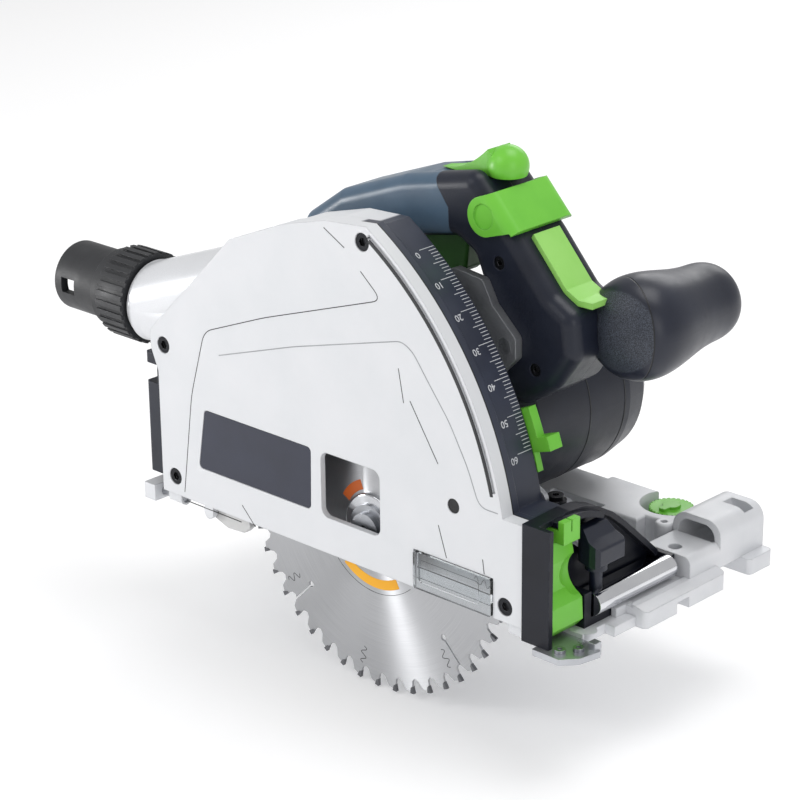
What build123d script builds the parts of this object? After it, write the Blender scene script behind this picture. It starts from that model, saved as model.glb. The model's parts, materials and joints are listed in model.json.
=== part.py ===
"""Track plunge saw: a circular saw head that plunges through a sole plate which runs on a guide rail.

Frame: +X is the cutting direction, +Y points from the blade towards the motor, +Z is up.
The origin lies on the underside of the sole, abreast of the spindle at full plunge.
The head is drawn fully plunged (60 mm cutting depth) and square to the sole.
All lengths are millimetres and all angles are degrees.
"""
import os
from math import acos, atan2, cos, degrees, hypot, pi, radians, sin, sqrt, tan

from build123d import *

os.makedirs("parts", exist_ok=True)

# ---------------------------------------------------------------- driving dimensions
blade_radius = 84.0
blade_body = 1.2
blade_kerf = 1.8
blade_teeth = 44
blade_phase = -89.6
blade_bore = 10.0
blade_y = -62.0

cut_depth = 60.0
spindle_x = 0.0
spindle_z = blade_radius - cut_depth

pivot_x = -105.0
pivot_z = 27.5
pivot_pin_radius = 5.0

tilt_y = -68.0
tilt_z = 4.0
tilt_pin_radius = 2.5

running_gap = 0.05
loose_gap = 0.4

# hood
hood_left = -74.4
hood_split = -63.0
hood_right = -45.0
hood_wall = 2.0
hood_panel = 3.0
hood_bottom = 8.0
hood_front = 102.5
hood_box_top = 58.2
hood_rear = -137.0
arc_x = -84.0
arc_z = 25.0
rim_radius = 178.0
scale_radius = 175.6

# sole
sole_left = -52.5
sole_right = 72.0
sole_rear = -151.0
sole_front = 128.0
sole_floor = 6.0
groove_left = 35.0
groove_right = 54.0
groove_height = 7.5
deck_left = 30.0
deck_right = 65.0
deck_top = 22.0
girder_back = 102.0
girder_low = 20.0
girder_high = 30.0
pad_depth = 6.0
wheel_x = 84.0
wheel_rear_x = -112.0
wheel_y = 57.5
wheel_radius = 11.0

# head
case_left = -44.5
case_right = -16.0
case_wall = 3.0
motor_x = 14.0
motor_z = 70.0
motor_radius = 44.4
motor_split = 52.0
motor_end = 78.0
handle_left = -31.0
handle_right = 7.0
handle_middle = (handle_left + handle_right) / 2
grip_x = 103.0
grip_z = 130.5

# gear train
gear_module = 0.9
spindle_teeth = 36
idler_pinion_teeth = 24
idler_teeth = 40
rotor_teeth = 14
pressure_angle = 25.0
backlash = 0.10

# dust port
port_y = -53.0
port_z = 99.2
port_outer = 18.0
duct_slope = (70.0, 0.0, 25.5)
port_inner = 13.5


# ---------------------------------------------------------------- helpers
def along_x(face, x0, x1):
    """Extrude a face drawn in (y, z) from x0 to x1."""
    plane = Plane(origin=(x0, 0, 0), x_dir=(0, 1, 0), z_dir=(1, 0, 0))
    return extrude(plane * face, amount=x1 - x0, dir=(1, 0, 0))


def along_y(face, y0, y1):
    """Extrude a face drawn in (x, z) from y0 to y1."""
    plane = Plane(origin=(0, y0, 0), x_dir=(1, 0, 0), z_dir=(0, -1, 0))
    return extrude(plane * face, amount=y1 - y0, dir=(0, 1, 0))


def along_z(face, z0, z1):
    """Extrude a face drawn in (x, y) from z0 to z1."""
    return extrude(Plane.XY.offset(z0) * face, amount=z1 - z0, dir=(0, 0, 1))


def disc(radius, a, b):
    return Pos(a, b) * Circle(radius)


def rod_x(radius, x0, x1, y, z):
    return along_x(disc(radius, y, z), x0, x1)


def rod_y(radius, y0, y1, x, z):
    return along_y(disc(radius, x, z), y0, y1)


def rod_z(radius, z0, z1, x, y):
    return along_z(disc(radius, x, y), z0, z1)


def block(x0, x1, y0, y1, z0, z1):
    centre = ((x0 + x1) / 2, (y0 + y1) / 2, (z0 + z1) / 2)
    return Pos(*centre) * Box(x1 - x0, y1 - y0, z1 - z0)


def polygon(*points):
    return make_face(Polyline(*points, close=True))


def soft_polygon(radius, *points):
    """A polygon whose corners are all rounded by the same radius."""
    face = polygon(*points)
    return fillet(face.vertices(), radius)


def rectangle(a0, a1, b0, b1):
    return Pos((a0 + a1) / 2, (b0 + b1) / 2) * Rectangle(a1 - a0, b1 - b0)


def soft_rectangle(a0, a1, b0, b1, radius):
    return Pos((a0 + a1) / 2, (b0 + b1) / 2) * RectangleRounded(a1 - a0, b1 - b0, radius)


def belt(circle_a, circle_b):
    """The outline of a belt around two circles given as (x, y, radius)."""
    ax, ay, ar = circle_a
    bx, by, br = circle_b
    reach = hypot(bx - ax, by - ay)
    heading = atan2(by - ay, bx - ax)
    lean = acos((ar - br) / reach)
    corners = []
    for side in (1, -1):
        turn = heading + side * lean
        corners.append((ax + ar * cos(turn), ay + ar * sin(turn)))
        corners.append((bx + br * cos(turn), by + br * sin(turn)))
    quad = polygon(corners[0], corners[1], corners[3], corners[2])
    return disc(ar, ax, ay) + quad + disc(br, bx, by)


def polar(cx, cy, radius, angle):
    return (cx + radius * cos(radians(angle)), cy + radius * sin(radians(angle)))


def sector(cx, cy, inner, outer, start, stop):
    """An annular sector in the drawing plane."""
    middle = (start + stop) / 2
    outer_arc = ThreePointArc(
        polar(cx, cy, outer, start), polar(cx, cy, outer, middle), polar(cx, cy, outer, stop)
    )
    inner_arc = ThreePointArc(
        polar(cx, cy, inner, stop), polar(cx, cy, inner, middle), polar(cx, cy, inner, start)
    )
    side_a = Line(polar(cx, cy, outer, stop), polar(cx, cy, inner, stop))
    side_b = Line(polar(cx, cy, inner, start), polar(cx, cy, outer, start))
    return make_face([outer_arc, side_a, inner_arc, side_b])


def eased(solid, edges, radius):
    """Fillet the edges, falling back to smaller radii where the corner is too tight."""
    for share in (1.0, 0.7, 0.4):
        try:
            result = fillet(edges, radius * share)
        except (ValueError, RuntimeError):
            continue
        if result.is_valid and result.volume > 0:
            return result
    return solid


def save(name, *solids):
    """Write one sub-part; several separate solids go in as a group."""
    pieces = []
    for item in solids:
        pieces.extend(item.solids())
    if len(pieces) == 1:
        export_step(pieces[0], f"parts/{name}.step")
    else:
        export_step(Compound(children=pieces), f"parts/{name}.step")


# ---------------------------------------------------------------- saw blade and spindle
def blade_outline():
    """Body of the blade: one raked tooth back, gullet and face per pitch."""
    pitch = 360.0 / blade_teeth
    body_radius = blade_radius - 0.5
    points = []
    for index in range(blade_teeth):
        start = blade_phase - index * pitch
        points.append(polar(0, 0, body_radius - 0.4, start - 0.02 * pitch))
        points.append(polar(0, 0, body_radius - 1.8, start - 0.36 * pitch))
        points.append(polar(0, 0, body_radius - 6.0, start - 0.52 * pitch))
        points.append(polar(0, 0, body_radius - 7.2, start - 0.70 * pitch))
        points.append(polar(0, 0, body_radius - 6.0, start - 0.88 * pitch))
        points.append(polar(0, 0, body_radius - 3.2, start - 0.95 * pitch))
    return polygon(*points)


def saw_blade():
    face = blade_outline() - Circle(blade_bore)
    for index in range(4):
        angle = 45 + 90 * index
        slot = sector(0, 0, 62.0, blade_radius - 5.0, angle - 0.35, angle + 0.35)
        face = face - slot - disc(1.6, *polar(0, 0, 62.0, angle))
    plate = along_y(face, blade_y - blade_body / 2, blade_y + blade_body / 2)
    return Pos(spindle_x, 0, spindle_z) * plate


def carbide_tips():
    pitch = 360.0 / blade_teeth
    outline = blade_outline()
    tips = []
    for index in range(blade_teeth):
        start = blade_phase - index * pitch
        face = polygon(
            polar(0, 0, blade_radius, start + 0.05 * pitch),
            polar(0, 0, blade_radius - 0.5, start - 0.14 * pitch),
            polar(0, 0, blade_radius - 3.2, start - 0.05 * pitch),
            polar(0, 0, blade_radius - 3.8, start + 0.05 * pitch),
        )
        tip = along_y(face, blade_y - blade_kerf / 2, blade_y + blade_kerf / 2)
        tip = tip - along_y(outline, blade_y - blade_body / 2, blade_y + blade_body / 2)
        tips.append(Pos(spindle_x, 0, spindle_z) * tip)
    return tips


def gear_face(teeth, phase):
    """Spur gear outline with involute flanks; one tooth is centred on the phase angle."""
    pitch_radius = gear_module * teeth / 2
    base_radius = pitch_radius * cos(radians(pressure_angle))
    tip_radius = pitch_radius + 0.8 * gear_module
    root_radius = pitch_radius - 1.05 * gear_module
    start_radius = max(base_radius, root_radius)
    steps = 5

    def spread(angle):
        return tan(angle) - angle

    half_pitch = pi / (2 * teeth) - backlash / (4 * pitch_radius)
    reference = spread(radians(pressure_angle))
    flank = []
    for step in range(steps + 1):
        radius = start_radius + (tip_radius - start_radius) * step / steps
        roll = acos(min(1.0, base_radius / radius))
        flank.append((radius, half_pitch + reference - spread(roll)))
    points = []
    for tooth in range(teeth):
        middle = radians(phase) + 2 * pi * tooth / teeth
        points.append((root_radius, middle - flank[0][1] - 0.01))
        for radius, half in flank:
            points.append((radius, middle - half))
        for radius, half in reversed(flank):
            points.append((radius, middle + half))
        points.append((root_radius, middle + flank[0][1] + 0.01))
    return polygon(*[(r * cos(a), r * sin(a)) for r, a in points])


stage_one = gear_module * (spindle_teeth + idler_pinion_teeth) / 2
stage_two = gear_module * (idler_teeth + rotor_teeth) / 2


def idler_axis():
    """Idler shaft position that keeps both gear pairs at their pitch distance."""
    dx = motor_x - spindle_x
    dz = motor_z - spindle_z
    reach = hypot(dx, dz)
    along = (stage_one**2 - stage_two**2 + reach**2) / (2 * reach)
    across = sqrt(stage_one**2 - along**2)
    ux = dx / reach
    uz = dz / reach
    return (spindle_x + along * ux - across * uz, spindle_z + along * uz + across * ux)


idler_x, idler_z = idler_axis()
heading_one = degrees(atan2(idler_z - spindle_z, idler_x - spindle_x))
heading_two = degrees(atan2(motor_z - idler_z, motor_x - idler_x))

spindle_bearing_left = (-56.0, -47.0)
spindle_bearing_right = (-23.0, -17.0)
idler_bearing_left = (-41.3, -37.3)
idler_bearing_right = (-22.0, -17.0)
spindle_gear_span = (-37.0, -31.5)
idler_gear_span = (-30.5, -24.5)
motor_bearing_left = (-21.5, -16.0)
motor_bearing_right = (58.0, 65.0)


def spindle():
    shaft = rod_y(7.5, -57.0, -17.0, spindle_x, spindle_z)
    nose = rod_y(blade_bore - 0.02, -65.2, -57.4, spindle_x, spindle_z)
    collar = rod_y(19.0, blade_y + blade_body / 2, -58.0, spindle_x, spindle_z)
    thread_hole = rod_y(4.0, -66.0, -45.0, spindle_x, spindle_z)
    return shaft + nose + collar + rod_y(10.5, -58.0, -56.2, spindle_x, spindle_z) - thread_hole


def drive_gear():
    face = gear_face(spindle_teeth, heading_one) - Circle(7.5)
    return Pos(spindle_x, 0, spindle_z) * along_y(face, *spindle_gear_span)


def outer_flange():
    plate = rod_y(17.0, -65.2, blade_y - blade_body / 2, spindle_x, spindle_z)
    bore = rod_y(blade_bore, -66.0, -62.0, spindle_x, spindle_z)
    return eased(plate, plate.edges().group_by(Axis.Y)[0], 1.2) - bore


def arbor_screw():
    """Cap screw with a hexagon socket and a captive washer."""
    head = rod_y(8.5, -69.6, -66.6, spindle_x, spindle_z)
    washer = rod_y(12.0, -66.6, -65.2, spindle_x, spindle_z)
    shank = rod_y(3.9, -65.2, -48.0, spindle_x, spindle_z)
    socket = along_y(RegularPolygon(3.0, 6), -70.0, -67.2)
    return head + washer + shank - Pos(spindle_x, 0, spindle_z) * socket


def idler():
    """Idler shaft with its pinion for the spindle gear and its large gear for the rotor pinion."""
    pinion_phase = heading_one + 180 + 180.0 / idler_pinion_teeth
    pinion = along_y(gear_face(idler_pinion_teeth, pinion_phase), spindle_gear_span[0], idler_gear_span[0])
    wheel = along_y(gear_face(idler_teeth, heading_two), *idler_gear_span)
    gears = Pos(idler_x, 0, idler_z) * (pinion + wheel)
    return gears + rod_y(4.0, idler_bearing_left[0], idler_bearing_right[1], idler_x, idler_z)


def rotor():
    """Brushless rotor: shaft with a cut pinion and a magnet drum."""
    phase = heading_two + 180 + 180.0 / rotor_teeth
    pinion = Pos(motor_x, 0, motor_z) * along_y(gear_face(rotor_teeth, phase), -31.0, -22.0)
    shaft = rod_y(4.0, -22.0, 65.0, motor_x, motor_z)
    drum = rod_y(14.8, 6.0, 40.0, motor_x, motor_z)
    return pinion + shaft + drum


def cooling_fan():
    fan = rod_y(9.0, -6.0, 1.0, motor_x, motor_z) + rod_y(33.0, -0.6, 1.0, motor_x, motor_z)
    for index in range(11):
        vane = block(8.0, 32.0, -6.0, 0.0, -0.8, 0.8)
        fan = fan + Pos(motor_x, 0, motor_z) * Rot(0, index * 360 / 11, 0) * vane
    return fan - rod_y(4.0, -7.0, 3.0, motor_x, motor_z)


# ---------------------------------------------------------------- ball bearings


def bearing(outer, bore, y0, y1, x, z):
    ring = rod_y(outer, y0, y1, x, z) - rod_y(bore, y0 - 1, y1 + 1, x, z)
    middle = (outer + bore) / 2
    face_groove = Circle(middle + 1.2) - Circle(middle - 1.2)
    return ring - Pos(x, 0, z) * along_y(face_groove, y0 - 1, y0 + 0.5)


def ball_bearings():
    return [
        bearing(16.0, 7.5 + running_gap, *spindle_bearing_left, spindle_x, spindle_z),
        bearing(13.0, 7.5 + running_gap, *spindle_bearing_right, spindle_x, spindle_z),
        bearing(9.5, 4.0 + running_gap, *idler_bearing_left, idler_x, idler_z),
        bearing(9.5, 4.0 + running_gap, *idler_bearing_right, idler_x, idler_z),
        bearing(11.0, 4.0 + running_gap, *motor_bearing_left, motor_x, motor_z),
        bearing(11.0, 4.0 + running_gap, *motor_bearing_right, motor_x, motor_z),
    ]


# ---------------------------------------------------------------- head castings
def case_face(shrink):
    """Gear case outline around the spindle, idler and motor axes."""
    spindle_circle = (spindle_x, spindle_z, 21.0 - shrink)
    motor_circle = (motor_x, motor_z, 24.0 - shrink)
    return belt(spindle_circle, motor_circle) + disc(22.5 - shrink, idler_x, idler_z)


def stop_arm_face():
    corners = ((0, 84), (38, 84), (56, 108), (64, 116), (64, 126), (50, 139), (44, 150))
    return soft_polygon(3.5, *corners, (26, 152), (8, 138), (-6, 104))


def gear_case():
    """Aluminium gear case: a cup open to the motor, with neck, swing arm and depth stop arm."""
    cup = along_y(case_face(0), case_left, -19.0)
    arm = along_y(belt((pivot_x, pivot_z, 13.5), (-8.0, 52.0, 24.0)), case_left, -32.0)
    arm_pocket = along_y(belt((-80.0, 33.5, 7.0), (-46.0, 42.0, 12.0)), -38.0, -31.0)
    neck = rod_y(18.8, -57.0, case_left + 1, spindle_x, spindle_z)
    stop_arm = along_y(stop_arm_face(), *stop_arm_span)
    arm_window = along_y(soft_polygon(3.0, (10, 112), (36, 104), (46, 120), (22, 132)), -40, -30)
    body = cup + arm + neck + (stop_arm - arm_window) - arm_pocket
    body = body - along_y(case_face(case_wall), -41.5, -18.0) + idler_boss()
    body = body - rod_y(9.5, idler_bearing_left[0], -36.0, idler_x, idler_z)
    body = body - rod_y(16.0, *spindle_bearing_left, spindle_x, spindle_z)
    body = body - rod_y(11.0, -58.0, -40.0, spindle_x, spindle_z)
    body = body - rod_y(4.0, -50.0, -30.0, *stop_bar_place)
    return body - rod_y(pivot_pin_radius + running_gap, -60.0, -20.0, pivot_x, pivot_z)


def idler_boss():
    """Pocket ring that holds the left idler bearing inside the case."""
    ring = disc(11.5, idler_x, idler_z) - disc(9.5, idler_x, idler_z)
    return along_y(ring, -41.6, -37.6)


def stop_bar():
    """Bright bar across the stop arm that meets the depth stop line."""
    return rod_y(4.0, stop_arm_span[0], -22.0, *stop_bar_place)


stop_arm_span = (-35.5, -31.0)
stop_bar_place = (57.0, 121.0)


def bearing_plate():
    """Plate between gear case and motor that carries the right-hand bearings."""
    body = along_y(case_face(0), -19.0, case_right)
    body = body + rod_y(15.2, -23.4, -18.5, spindle_x, spindle_z)
    body = body + rod_y(11.5, -22.4, -18.5, idler_x, idler_z)
    body = body + rod_y(13.0, -21.5, -18.5, motor_x, motor_z)
    body = body - rod_y(13.0, -24.0, -17.0, spindle_x, spindle_z)
    body = body - rod_y(9.5, -24.0, -17.0, idler_x, idler_z)
    body = body - rod_y(11.0, -22.0, -15.0, motor_x, motor_z)
    return body & along_y(case_face(0), -30, -10)


def motor_profile(inset):
    """Half section of the motor housing, radius against distance along its axis."""
    outer = motor_radius - inset
    end = 40.0 - inset
    return [
        (0, case_right + inset),
        (outer - 6, case_right + inset),
        (outer, case_right + 6 + inset),
        (outer, motor_split + 4),
        (end + 2, motor_end - 9),
        (end - 2.5, motor_end - 2.5 - inset),
        (end - 9, motor_end - inset),
        (0, motor_end - inset),
    ]


def motor_solid(inset):
    """Turned envelope of the motor housing about the motor axis."""
    face = polygon(*motor_profile(inset))
    turned = revolve(Plane.XY * face, axis=Axis.Y)
    return Pos(motor_x, 0, motor_z) * turned


def motor_shell():
    envelope = motor_solid(0)
    hollow = motor_solid(2.6)
    return envelope - hollow


def vent_slots():
    """Cooling slots: a ring of radial slots in the end face and rows on the rear side."""
    cuts = []
    for index in range(12):
        slot = Pos(motor_x, 0, motor_z) * Rot(0, index * 30, 0) * block(18, 31, 66, 80, -1.6, 1.6)
        cuts.append(slot)
    for index in range(5):
        y = 14 + index * 7
        cuts.append(block(-45, -12, y, y + 3, 54, 78))
    return cuts


def motor_housing():
    body = motor_shell() & block(-60, 90, case_right - 1, motor_split, 0, 140)
    body = body - rod_y(26.0, -17, -13, motor_x, motor_z)
    body = body + (along_y(case_face(3.5), -16.0, -13.0) & motor_solid(0))
    body = body + stator_seat()
    body = body - rod_y(11.0, -17, -10, motor_x, motor_z)
    for cut in vent_slots()[12:]:
        body = body - cut
    return body


def stator_seat():
    """Ring of ribs that holds the stator inside the motor housing."""
    merged = block(28.0, 42.2, 6.0, 40.0, -1.5, 1.5)
    for index in range(1, 8):
        merged = merged + Rot(0, index * 45, 0) * block(28.0, 42.2, 6.0, 40.0, -1.5, 1.5)
    return Pos(motor_x, 0, motor_z) * Rot(0, 22.5, 0) * merged


def motor_cap():
    body = motor_shell() & block(-60, 90, motor_split, motor_end + 1, 0, 140)
    seat = rod_y(13.5, 58.0, motor_end - 2.0, motor_x, motor_z)
    spokes = block(-41.0, 41.0, 58.0, 66.0, -1.5, 1.5) + block(-1.5, 1.5, 58.0, 66.0, -41.0, 41.0)
    body = body + seat + ((Pos(motor_x, 0, motor_z) * spokes) & motor_solid(2.0))
    body = body - rod_y(11.0, 57, motor_bearing_right[1], motor_x, motor_z)
    for cut in vent_slots()[:12]:
        body = body - cut
    return body


def stator_core():
    ring = Circle(28.0) - Circle(23.0)
    for index in range(6):
        ring = ring + Rot(0, 0, index * 60) * rectangle(15.6, 24.0, -2.5, 2.5)
    return Pos(motor_x, 0, motor_z) * along_y(ring, 6.0, 40.0)


def stator_coils():
    coils = []
    for index in range(6):
        coil = along_y(rectangle(17.2, 22.4, -5.0, 5.0), 2.6, 43.4)
        coil = coil - along_y(rectangle(16.0, 24.0, -2.5, 2.5), 6.0, 40.0)
        coils.append(Pos(motor_x, 0, motor_z) * Rot(0, index * 60, 0) * coil)
    return coils


# ---------------------------------------------------------------- handle


def handle_outline():
    """Side view of the handle without its hand opening."""
    return soft_polygon(
        8.0,
        (-86, 92), (-88, 132), (-76, 156), (-53, 172), (-12, 187), (10, 192), (33, 197),
        (60, 170.5), (80, 148), (93, 141), (95, 122), (82, 104), (64, 92), (-34, 92),
    )


def hand_opening():
    return soft_polygon(
        6.0, (-60, 122), (-62, 136), (-50, 147), (-13, 157), (22, 164), (33, 158), (42, 136), (42, 122)
    )


def rounded_handle():
    """Handle body with rounded flanks, cleared for the motor, gear case and front grip."""
    body = along_y(handle_outline() - hand_opening(), handle_left, handle_right)
    near = body.faces().sort_by(Axis.Y)[0]
    body = eased(body, near.edges(), 7.0)
    far = body.faces().sort_by(Axis.Y)[-1]
    body = eased(body, far.edges(), 7.0)
    body = body - motor_solid(0) - along_y(case_face(0), case_left, case_right)
    body = body - along_y(stop_arm_face(), -40, stop_arm_span[1])
    return body - front_grip()


def cover_layer():
    """Outer layer of the rear of the grip that belongs to the soft cover."""
    core = along_y(offset(handle_outline(), -2.6), handle_left + 2.6, handle_right - 2.6)
    region = along_y(
        polygon((-95, 112), (-95, 215), (0, 215), (10, 190), (19, 178), (20, 150), (-40, 140), (-74, 112)),
        handle_left - 1, handle_right + 1,
    )
    return region - core


def front_grip():
    """Round front grip along Y, turned about its own axis."""
    profile = [
        (9, -14.2), (16, -11.5), (21.5, -6.5), (24.2, 1), (24.4, 9), (22.8, 20),
        (20.2, 34), (19.0, 46), (18.4, 54), (16.6, 59), (12.5, 62.4), (6.5, 64.2),
    ]
    curve = Spline((0, -15), *profile, (0, 64.6), tangents=[(1, 0), (-1, 0)])
    face = make_face([curve, Line((0, 64.6), (0, -15))])
    return Pos(grip_x, 0, grip_z) * revolve(face, axis=Axis.Y)


def trim_face():
    """Strip that runs down the front of the handle to the grip."""
    return polygon(
        (59.6, 168.4), (61.8, 171.8), (81.4, 149.8), (88.5, 146.4), (96.5, 146.6), (96.5, 143.8),
        (88.0, 143.6), (79.6, 147.4),
    )


def handle_trim():
    strip = along_y(trim_face(), handle_middle - 9, handle_middle + 9)
    return strip - front_grip()


def change_lever():
    """Lever that bridges the front of the handle, with a cheek on each side."""
    front = polygon((44.2, 187.9), (58.7, 172.6), (61.2, 174.9), (46.6, 190.4))
    cheek = disc(9.4, 42.6, 178.8) + polygon((38.5, 187.2), (46.6, 190.4), (61.2, 174.9), (44.5, 169.6))
    body = along_y(cheek + front, lever_left, lever_right)
    for side in (0, -1):
        flank = body.faces().sort_by(Axis.Y)[side]
        body = eased(body, [flank.edges().filter_by(GeomType.LINE).sort_by(SortBy.LENGTH)[-1]], 6.0)
    inner = along_y(offset(handle_outline(), loose_gap), handle_left - loose_gap, handle_right + loose_gap)
    for side in (0, -1):
        inner = eased(inner, inner.faces().sort_by(Axis.Y)[side].edges(), 2.4)
    crest_face = offset(handle_outline(), loose_gap) & polygon((20, 160), (20, 210), (80, 210), (80, 150))
    crest = along_y(crest_face, handle_left - loose_gap, handle_right + loose_gap)
    hinge_line = Axis((lever_pivot[0], 0, lever_pivot[1]), (0, 1, 0))
    for turn in range(10, lever_swing + 1, 10):
        inner = inner + crest.rotate(hinge_line, turn)
    stubs = rod_y(2.0, lever_left + 1, handle_left + 4, *lever_pivot)
    stubs = stubs + rod_y(2.0, handle_right - 4, lever_right - 1, *lever_pivot)
    dimple = rod_y(6.0, lever_left - 1, lever_left + 0.8, 42.6, 178.8)
    return body - inner + stubs - dimple


lever_left = handle_left - 2.6
lever_right = handle_right + 2.6
lever_pivot = (42.2, 185.6)
lever_swing = 40


def lever_holes():
    left = rod_y(2.0 + running_gap, handle_left - 1, handle_left + 4.2, *lever_pivot)
    right = rod_y(2.0 + running_gap, handle_right - 4.2, handle_right + 1, *lever_pivot)
    return left + right


def button_tail():
    """Side view of the ramp of the plunge release, which rises in a hollow curve to its dome."""
    rise = Spline((1, 190.9), (17, 195.0), (33, 205.6), tangents=[(1, 0.1), (1, 0.9)])
    base = Polyline((33, 205.6), (38, 200), (38, 193.2), (34, 193.2), (10, 190.9), (1, 190.9))
    return make_face([rise, base])


def lock_button():
    """Plunge release: round dome at the front of the handle top and a tapering tail."""
    tail = along_y(button_tail(), handle_middle - 7.5, handle_middle + 7.5)
    taper = along_z(polygon((0, -15), (36, -20), (36, -4), (0, -9)), 185, 215)
    dome = Pos(button_x, handle_middle, button_z) * Sphere(button_radius)
    return (tail & taper) + (dome & block(20, 60, -40, 20, 193.2, 215))


button_x = 38.6
button_z = 197.4
button_radius = 9.8


def button_room():
    """Room for the plunge release and its forward travel."""
    face = polygon((-1, 190.3), (-1, 215), (58, 215), (58, 192.6), (34, 192.6), (10, 190.3))
    return along_y(face, handle_middle - 10.4, handle_middle + 10.4)


def trigger():
    """Finger trigger under the front of the grip, hung on a cross pin."""
    face = soft_polygon(2.0, (-8, 163), (-10, 151), (-3, 144), (14, 142), (19, 146), (21, 166), (8, 167.5))
    body = along_y(face, handle_middle - 7, handle_middle + 7)
    body = eased(body, body.faces().sort_by(Axis.Y)[0].edges(), 1.5)
    body = eased(body, body.faces().sort_by(Axis.Y)[-1].edges(), 1.5)
    return body - rod_y(2.0 + running_gap, -40, 20, *trigger_pivot)


trigger_pivot = (-3.0, 160.5)


def trigger_pin():
    return rod_y(2.0, handle_middle - 11, handle_middle + 11, *trigger_pivot)


def trigger_room():
    face = polygon((-12, 150), (-12, 166), (8, 171.5), (26, 171.5), (27, 140), (0, 138))
    return along_y(face, handle_middle - 7.6, handle_middle + 7.6)


def switch_unit():
    """Switch block above the trigger."""
    return block(-4, 22, handle_middle - 7, handle_middle + 7, 172.5, 181.5)


def power_inlet():
    """Lead socket at the rear foot of the handle: round body, two contacts and a key."""
    body = rod_x(13.0, -104.0, -80.0, handle_middle, inlet_z)
    body = body - rod_x(10.2, -105.0, -92.0, handle_middle, inlet_z)
    body = body + rod_x(1.6, -100.0, -91.0, handle_middle - 4, inlet_z)
    body = body + rod_x(1.6, -100.0, -91.0, handle_middle + 4, inlet_z)
    return body + block(-102.0, -91.5, handle_middle - 1, handle_middle + 1, inlet_z - 10.4, inlet_z - 7.0)


inlet_z = 112.0


def speed_dial():
    """Knurled thumb wheel for the blade speed at the rear of the handle."""
    wheel = Circle(9.0)
    for index in range(24):
        wheel = wheel - Rot(0, 0, index * 15) * rectangle(8.3, 9.6, -0.45, 0.45)
    disk = along_y(wheel, handle_middle - 3, handle_middle + 3)
    axle = along_y(Circle(2.0), handle_middle - 6, handle_middle + 6)
    return Pos(dial_x, 0, dial_z) * (disk + axle)


dial_x = -81.5
dial_z = 140.0


def dial_room():
    wide = rod_y(9.6, handle_middle - 3.5, handle_middle + 3.5, dial_x, dial_z)
    return wide + rod_y(2.0 + running_gap, handle_middle - 6.3, handle_middle + 6.3, dial_x, dial_z)


def control_board():
    """Potted motor control in the rear column of the handle."""
    return block(-72, -40, handle_middle - 10, handle_middle + 10, 98, 114)


handle_screw_places = ((-70, 146), (-31, 104), (72, 112), (50, 158))


def handle_screws():
    screws = []
    for x, z in handle_screw_places:
        socket = Pos(x, 0, z) * along_y(RegularPolygon(1.5, 6), handle_left, handle_left + 2.4)
        head = rod_y(3.2, handle_left + 0.6, handle_left + 3.6, x, z) - socket
        screws.append(head + rod_y(1.6, handle_left + 3.6, handle_middle + 8, x, z))
    return screws


def handle_screw_holes():
    holes = rod_y(3.2, handle_left - 1, handle_left + 3.6, *handle_screw_places[0])
    for place in handle_screw_places:
        holes = holes + rod_y(3.2, handle_left - 1, handle_left + 3.6, *place)
        holes = holes + rod_y(1.6, handle_left, handle_middle + 8, *place)
    return holes


def handle_halves():
    """Left and right handle shells with all pockets."""
    body = rounded_handle()
    body = body - cover_layer() - along_y(trim_face(), handle_middle - 9, handle_middle + 9)
    body = body - lever_holes() - button_room() - trigger_room() - trigger_pin() - dial_room()
    body = body - block(-4, 22, handle_middle - 7, handle_middle + 7, 170.0, 181.5)
    body = body - block(-72, -40, handle_middle - 10, handle_middle + 10, 98, 114)
    body = body - rod_x(13.0, -110.0, -80.0, handle_middle, inlet_z)
    body = body - rod_y(4.0, -40.0, -22.0, *stop_bar_place) - handle_screw_holes()
    left = body & block(-150, 150, handle_left - 10, handle_middle, 60, 240)
    right = body & block(-150, 150, handle_middle, handle_right + 10, 60, 240)
    return left, right


def grip_cover():
    body = rounded_handle() & cover_layer()
    body = body - dial_room() - rod_x(13.0, -110.0, -80.0, handle_middle, inlet_z) - handle_screw_holes()
    return body - trigger_room() - trigger_pin() - button_room()


# ---------------------------------------------------------------- hood
def hood_outline(radius):
    """Side view of the hood: box front, round rim, sloping top and rear."""
    drop = 0.8 if radius < rim_radius else 0.0
    start = degrees(atan2(hood_box_top - arc_z, sqrt(radius**2 - (hood_box_top - arc_z) ** 2)))
    stop = 58.5
    rim = ThreePointArc(
        polar(arc_x, arc_z, radius, start),
        polar(arc_x, arc_z, radius, (start + stop) / 2),
        polar(arc_x, arc_z, radius, stop),
    )
    path = Polyline(
        polar(arc_x, arc_z, radius, stop),
        (-17, 174.5 - drop), (-45, 167.0 - drop), (-81.7, 152.0 - drop), (-141.5 + drop, 93.0),
        (-142 + drop, 84), (hood_rear + drop, 72), (hood_rear + drop, hood_bottom),
        (hood_front - drop, hood_bottom), (hood_front - drop, hood_box_top),
        polar(arc_x, arc_z, radius, start),
    )
    return make_face([rim, path])


def shell_of(outline, y0, y1, panel, panel_side):
    """A thin-walled half shell, open at the bottom and at the side facing its partner."""
    outer = along_y(outline, y0, y1)
    inner_face = offset(outline, -hood_wall)
    low = y0 + panel if panel_side == "left" else y0 - 1
    high = y1 + 1 if panel_side == "left" else y1 - panel
    inner = along_y(inner_face, low, high)
    mouth = block(hood_rear + 3, hood_front - 3, low, high, 0, 14)
    return outer - inner - mouth


cover_screw_places = ((6.2, 169.0, 3.1), (-132.4, 86.7, 4.6), (-127.4, 17.8, 4.6), (92.4, 15.7, 4.6))
window_box = (-23.4, 15.2, 26.6, 59.8)
guard_opening = (36.3, 85.3, hood_bottom, 27.5)
label_corners = ((-104.0, 59.7), (-29.8, 59.7), (-30.6, 27.6), (-109.5, 27.6))
plug_place = (61.3, 56.0)
sensor_pivot = (-103.6, 4.6)


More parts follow.
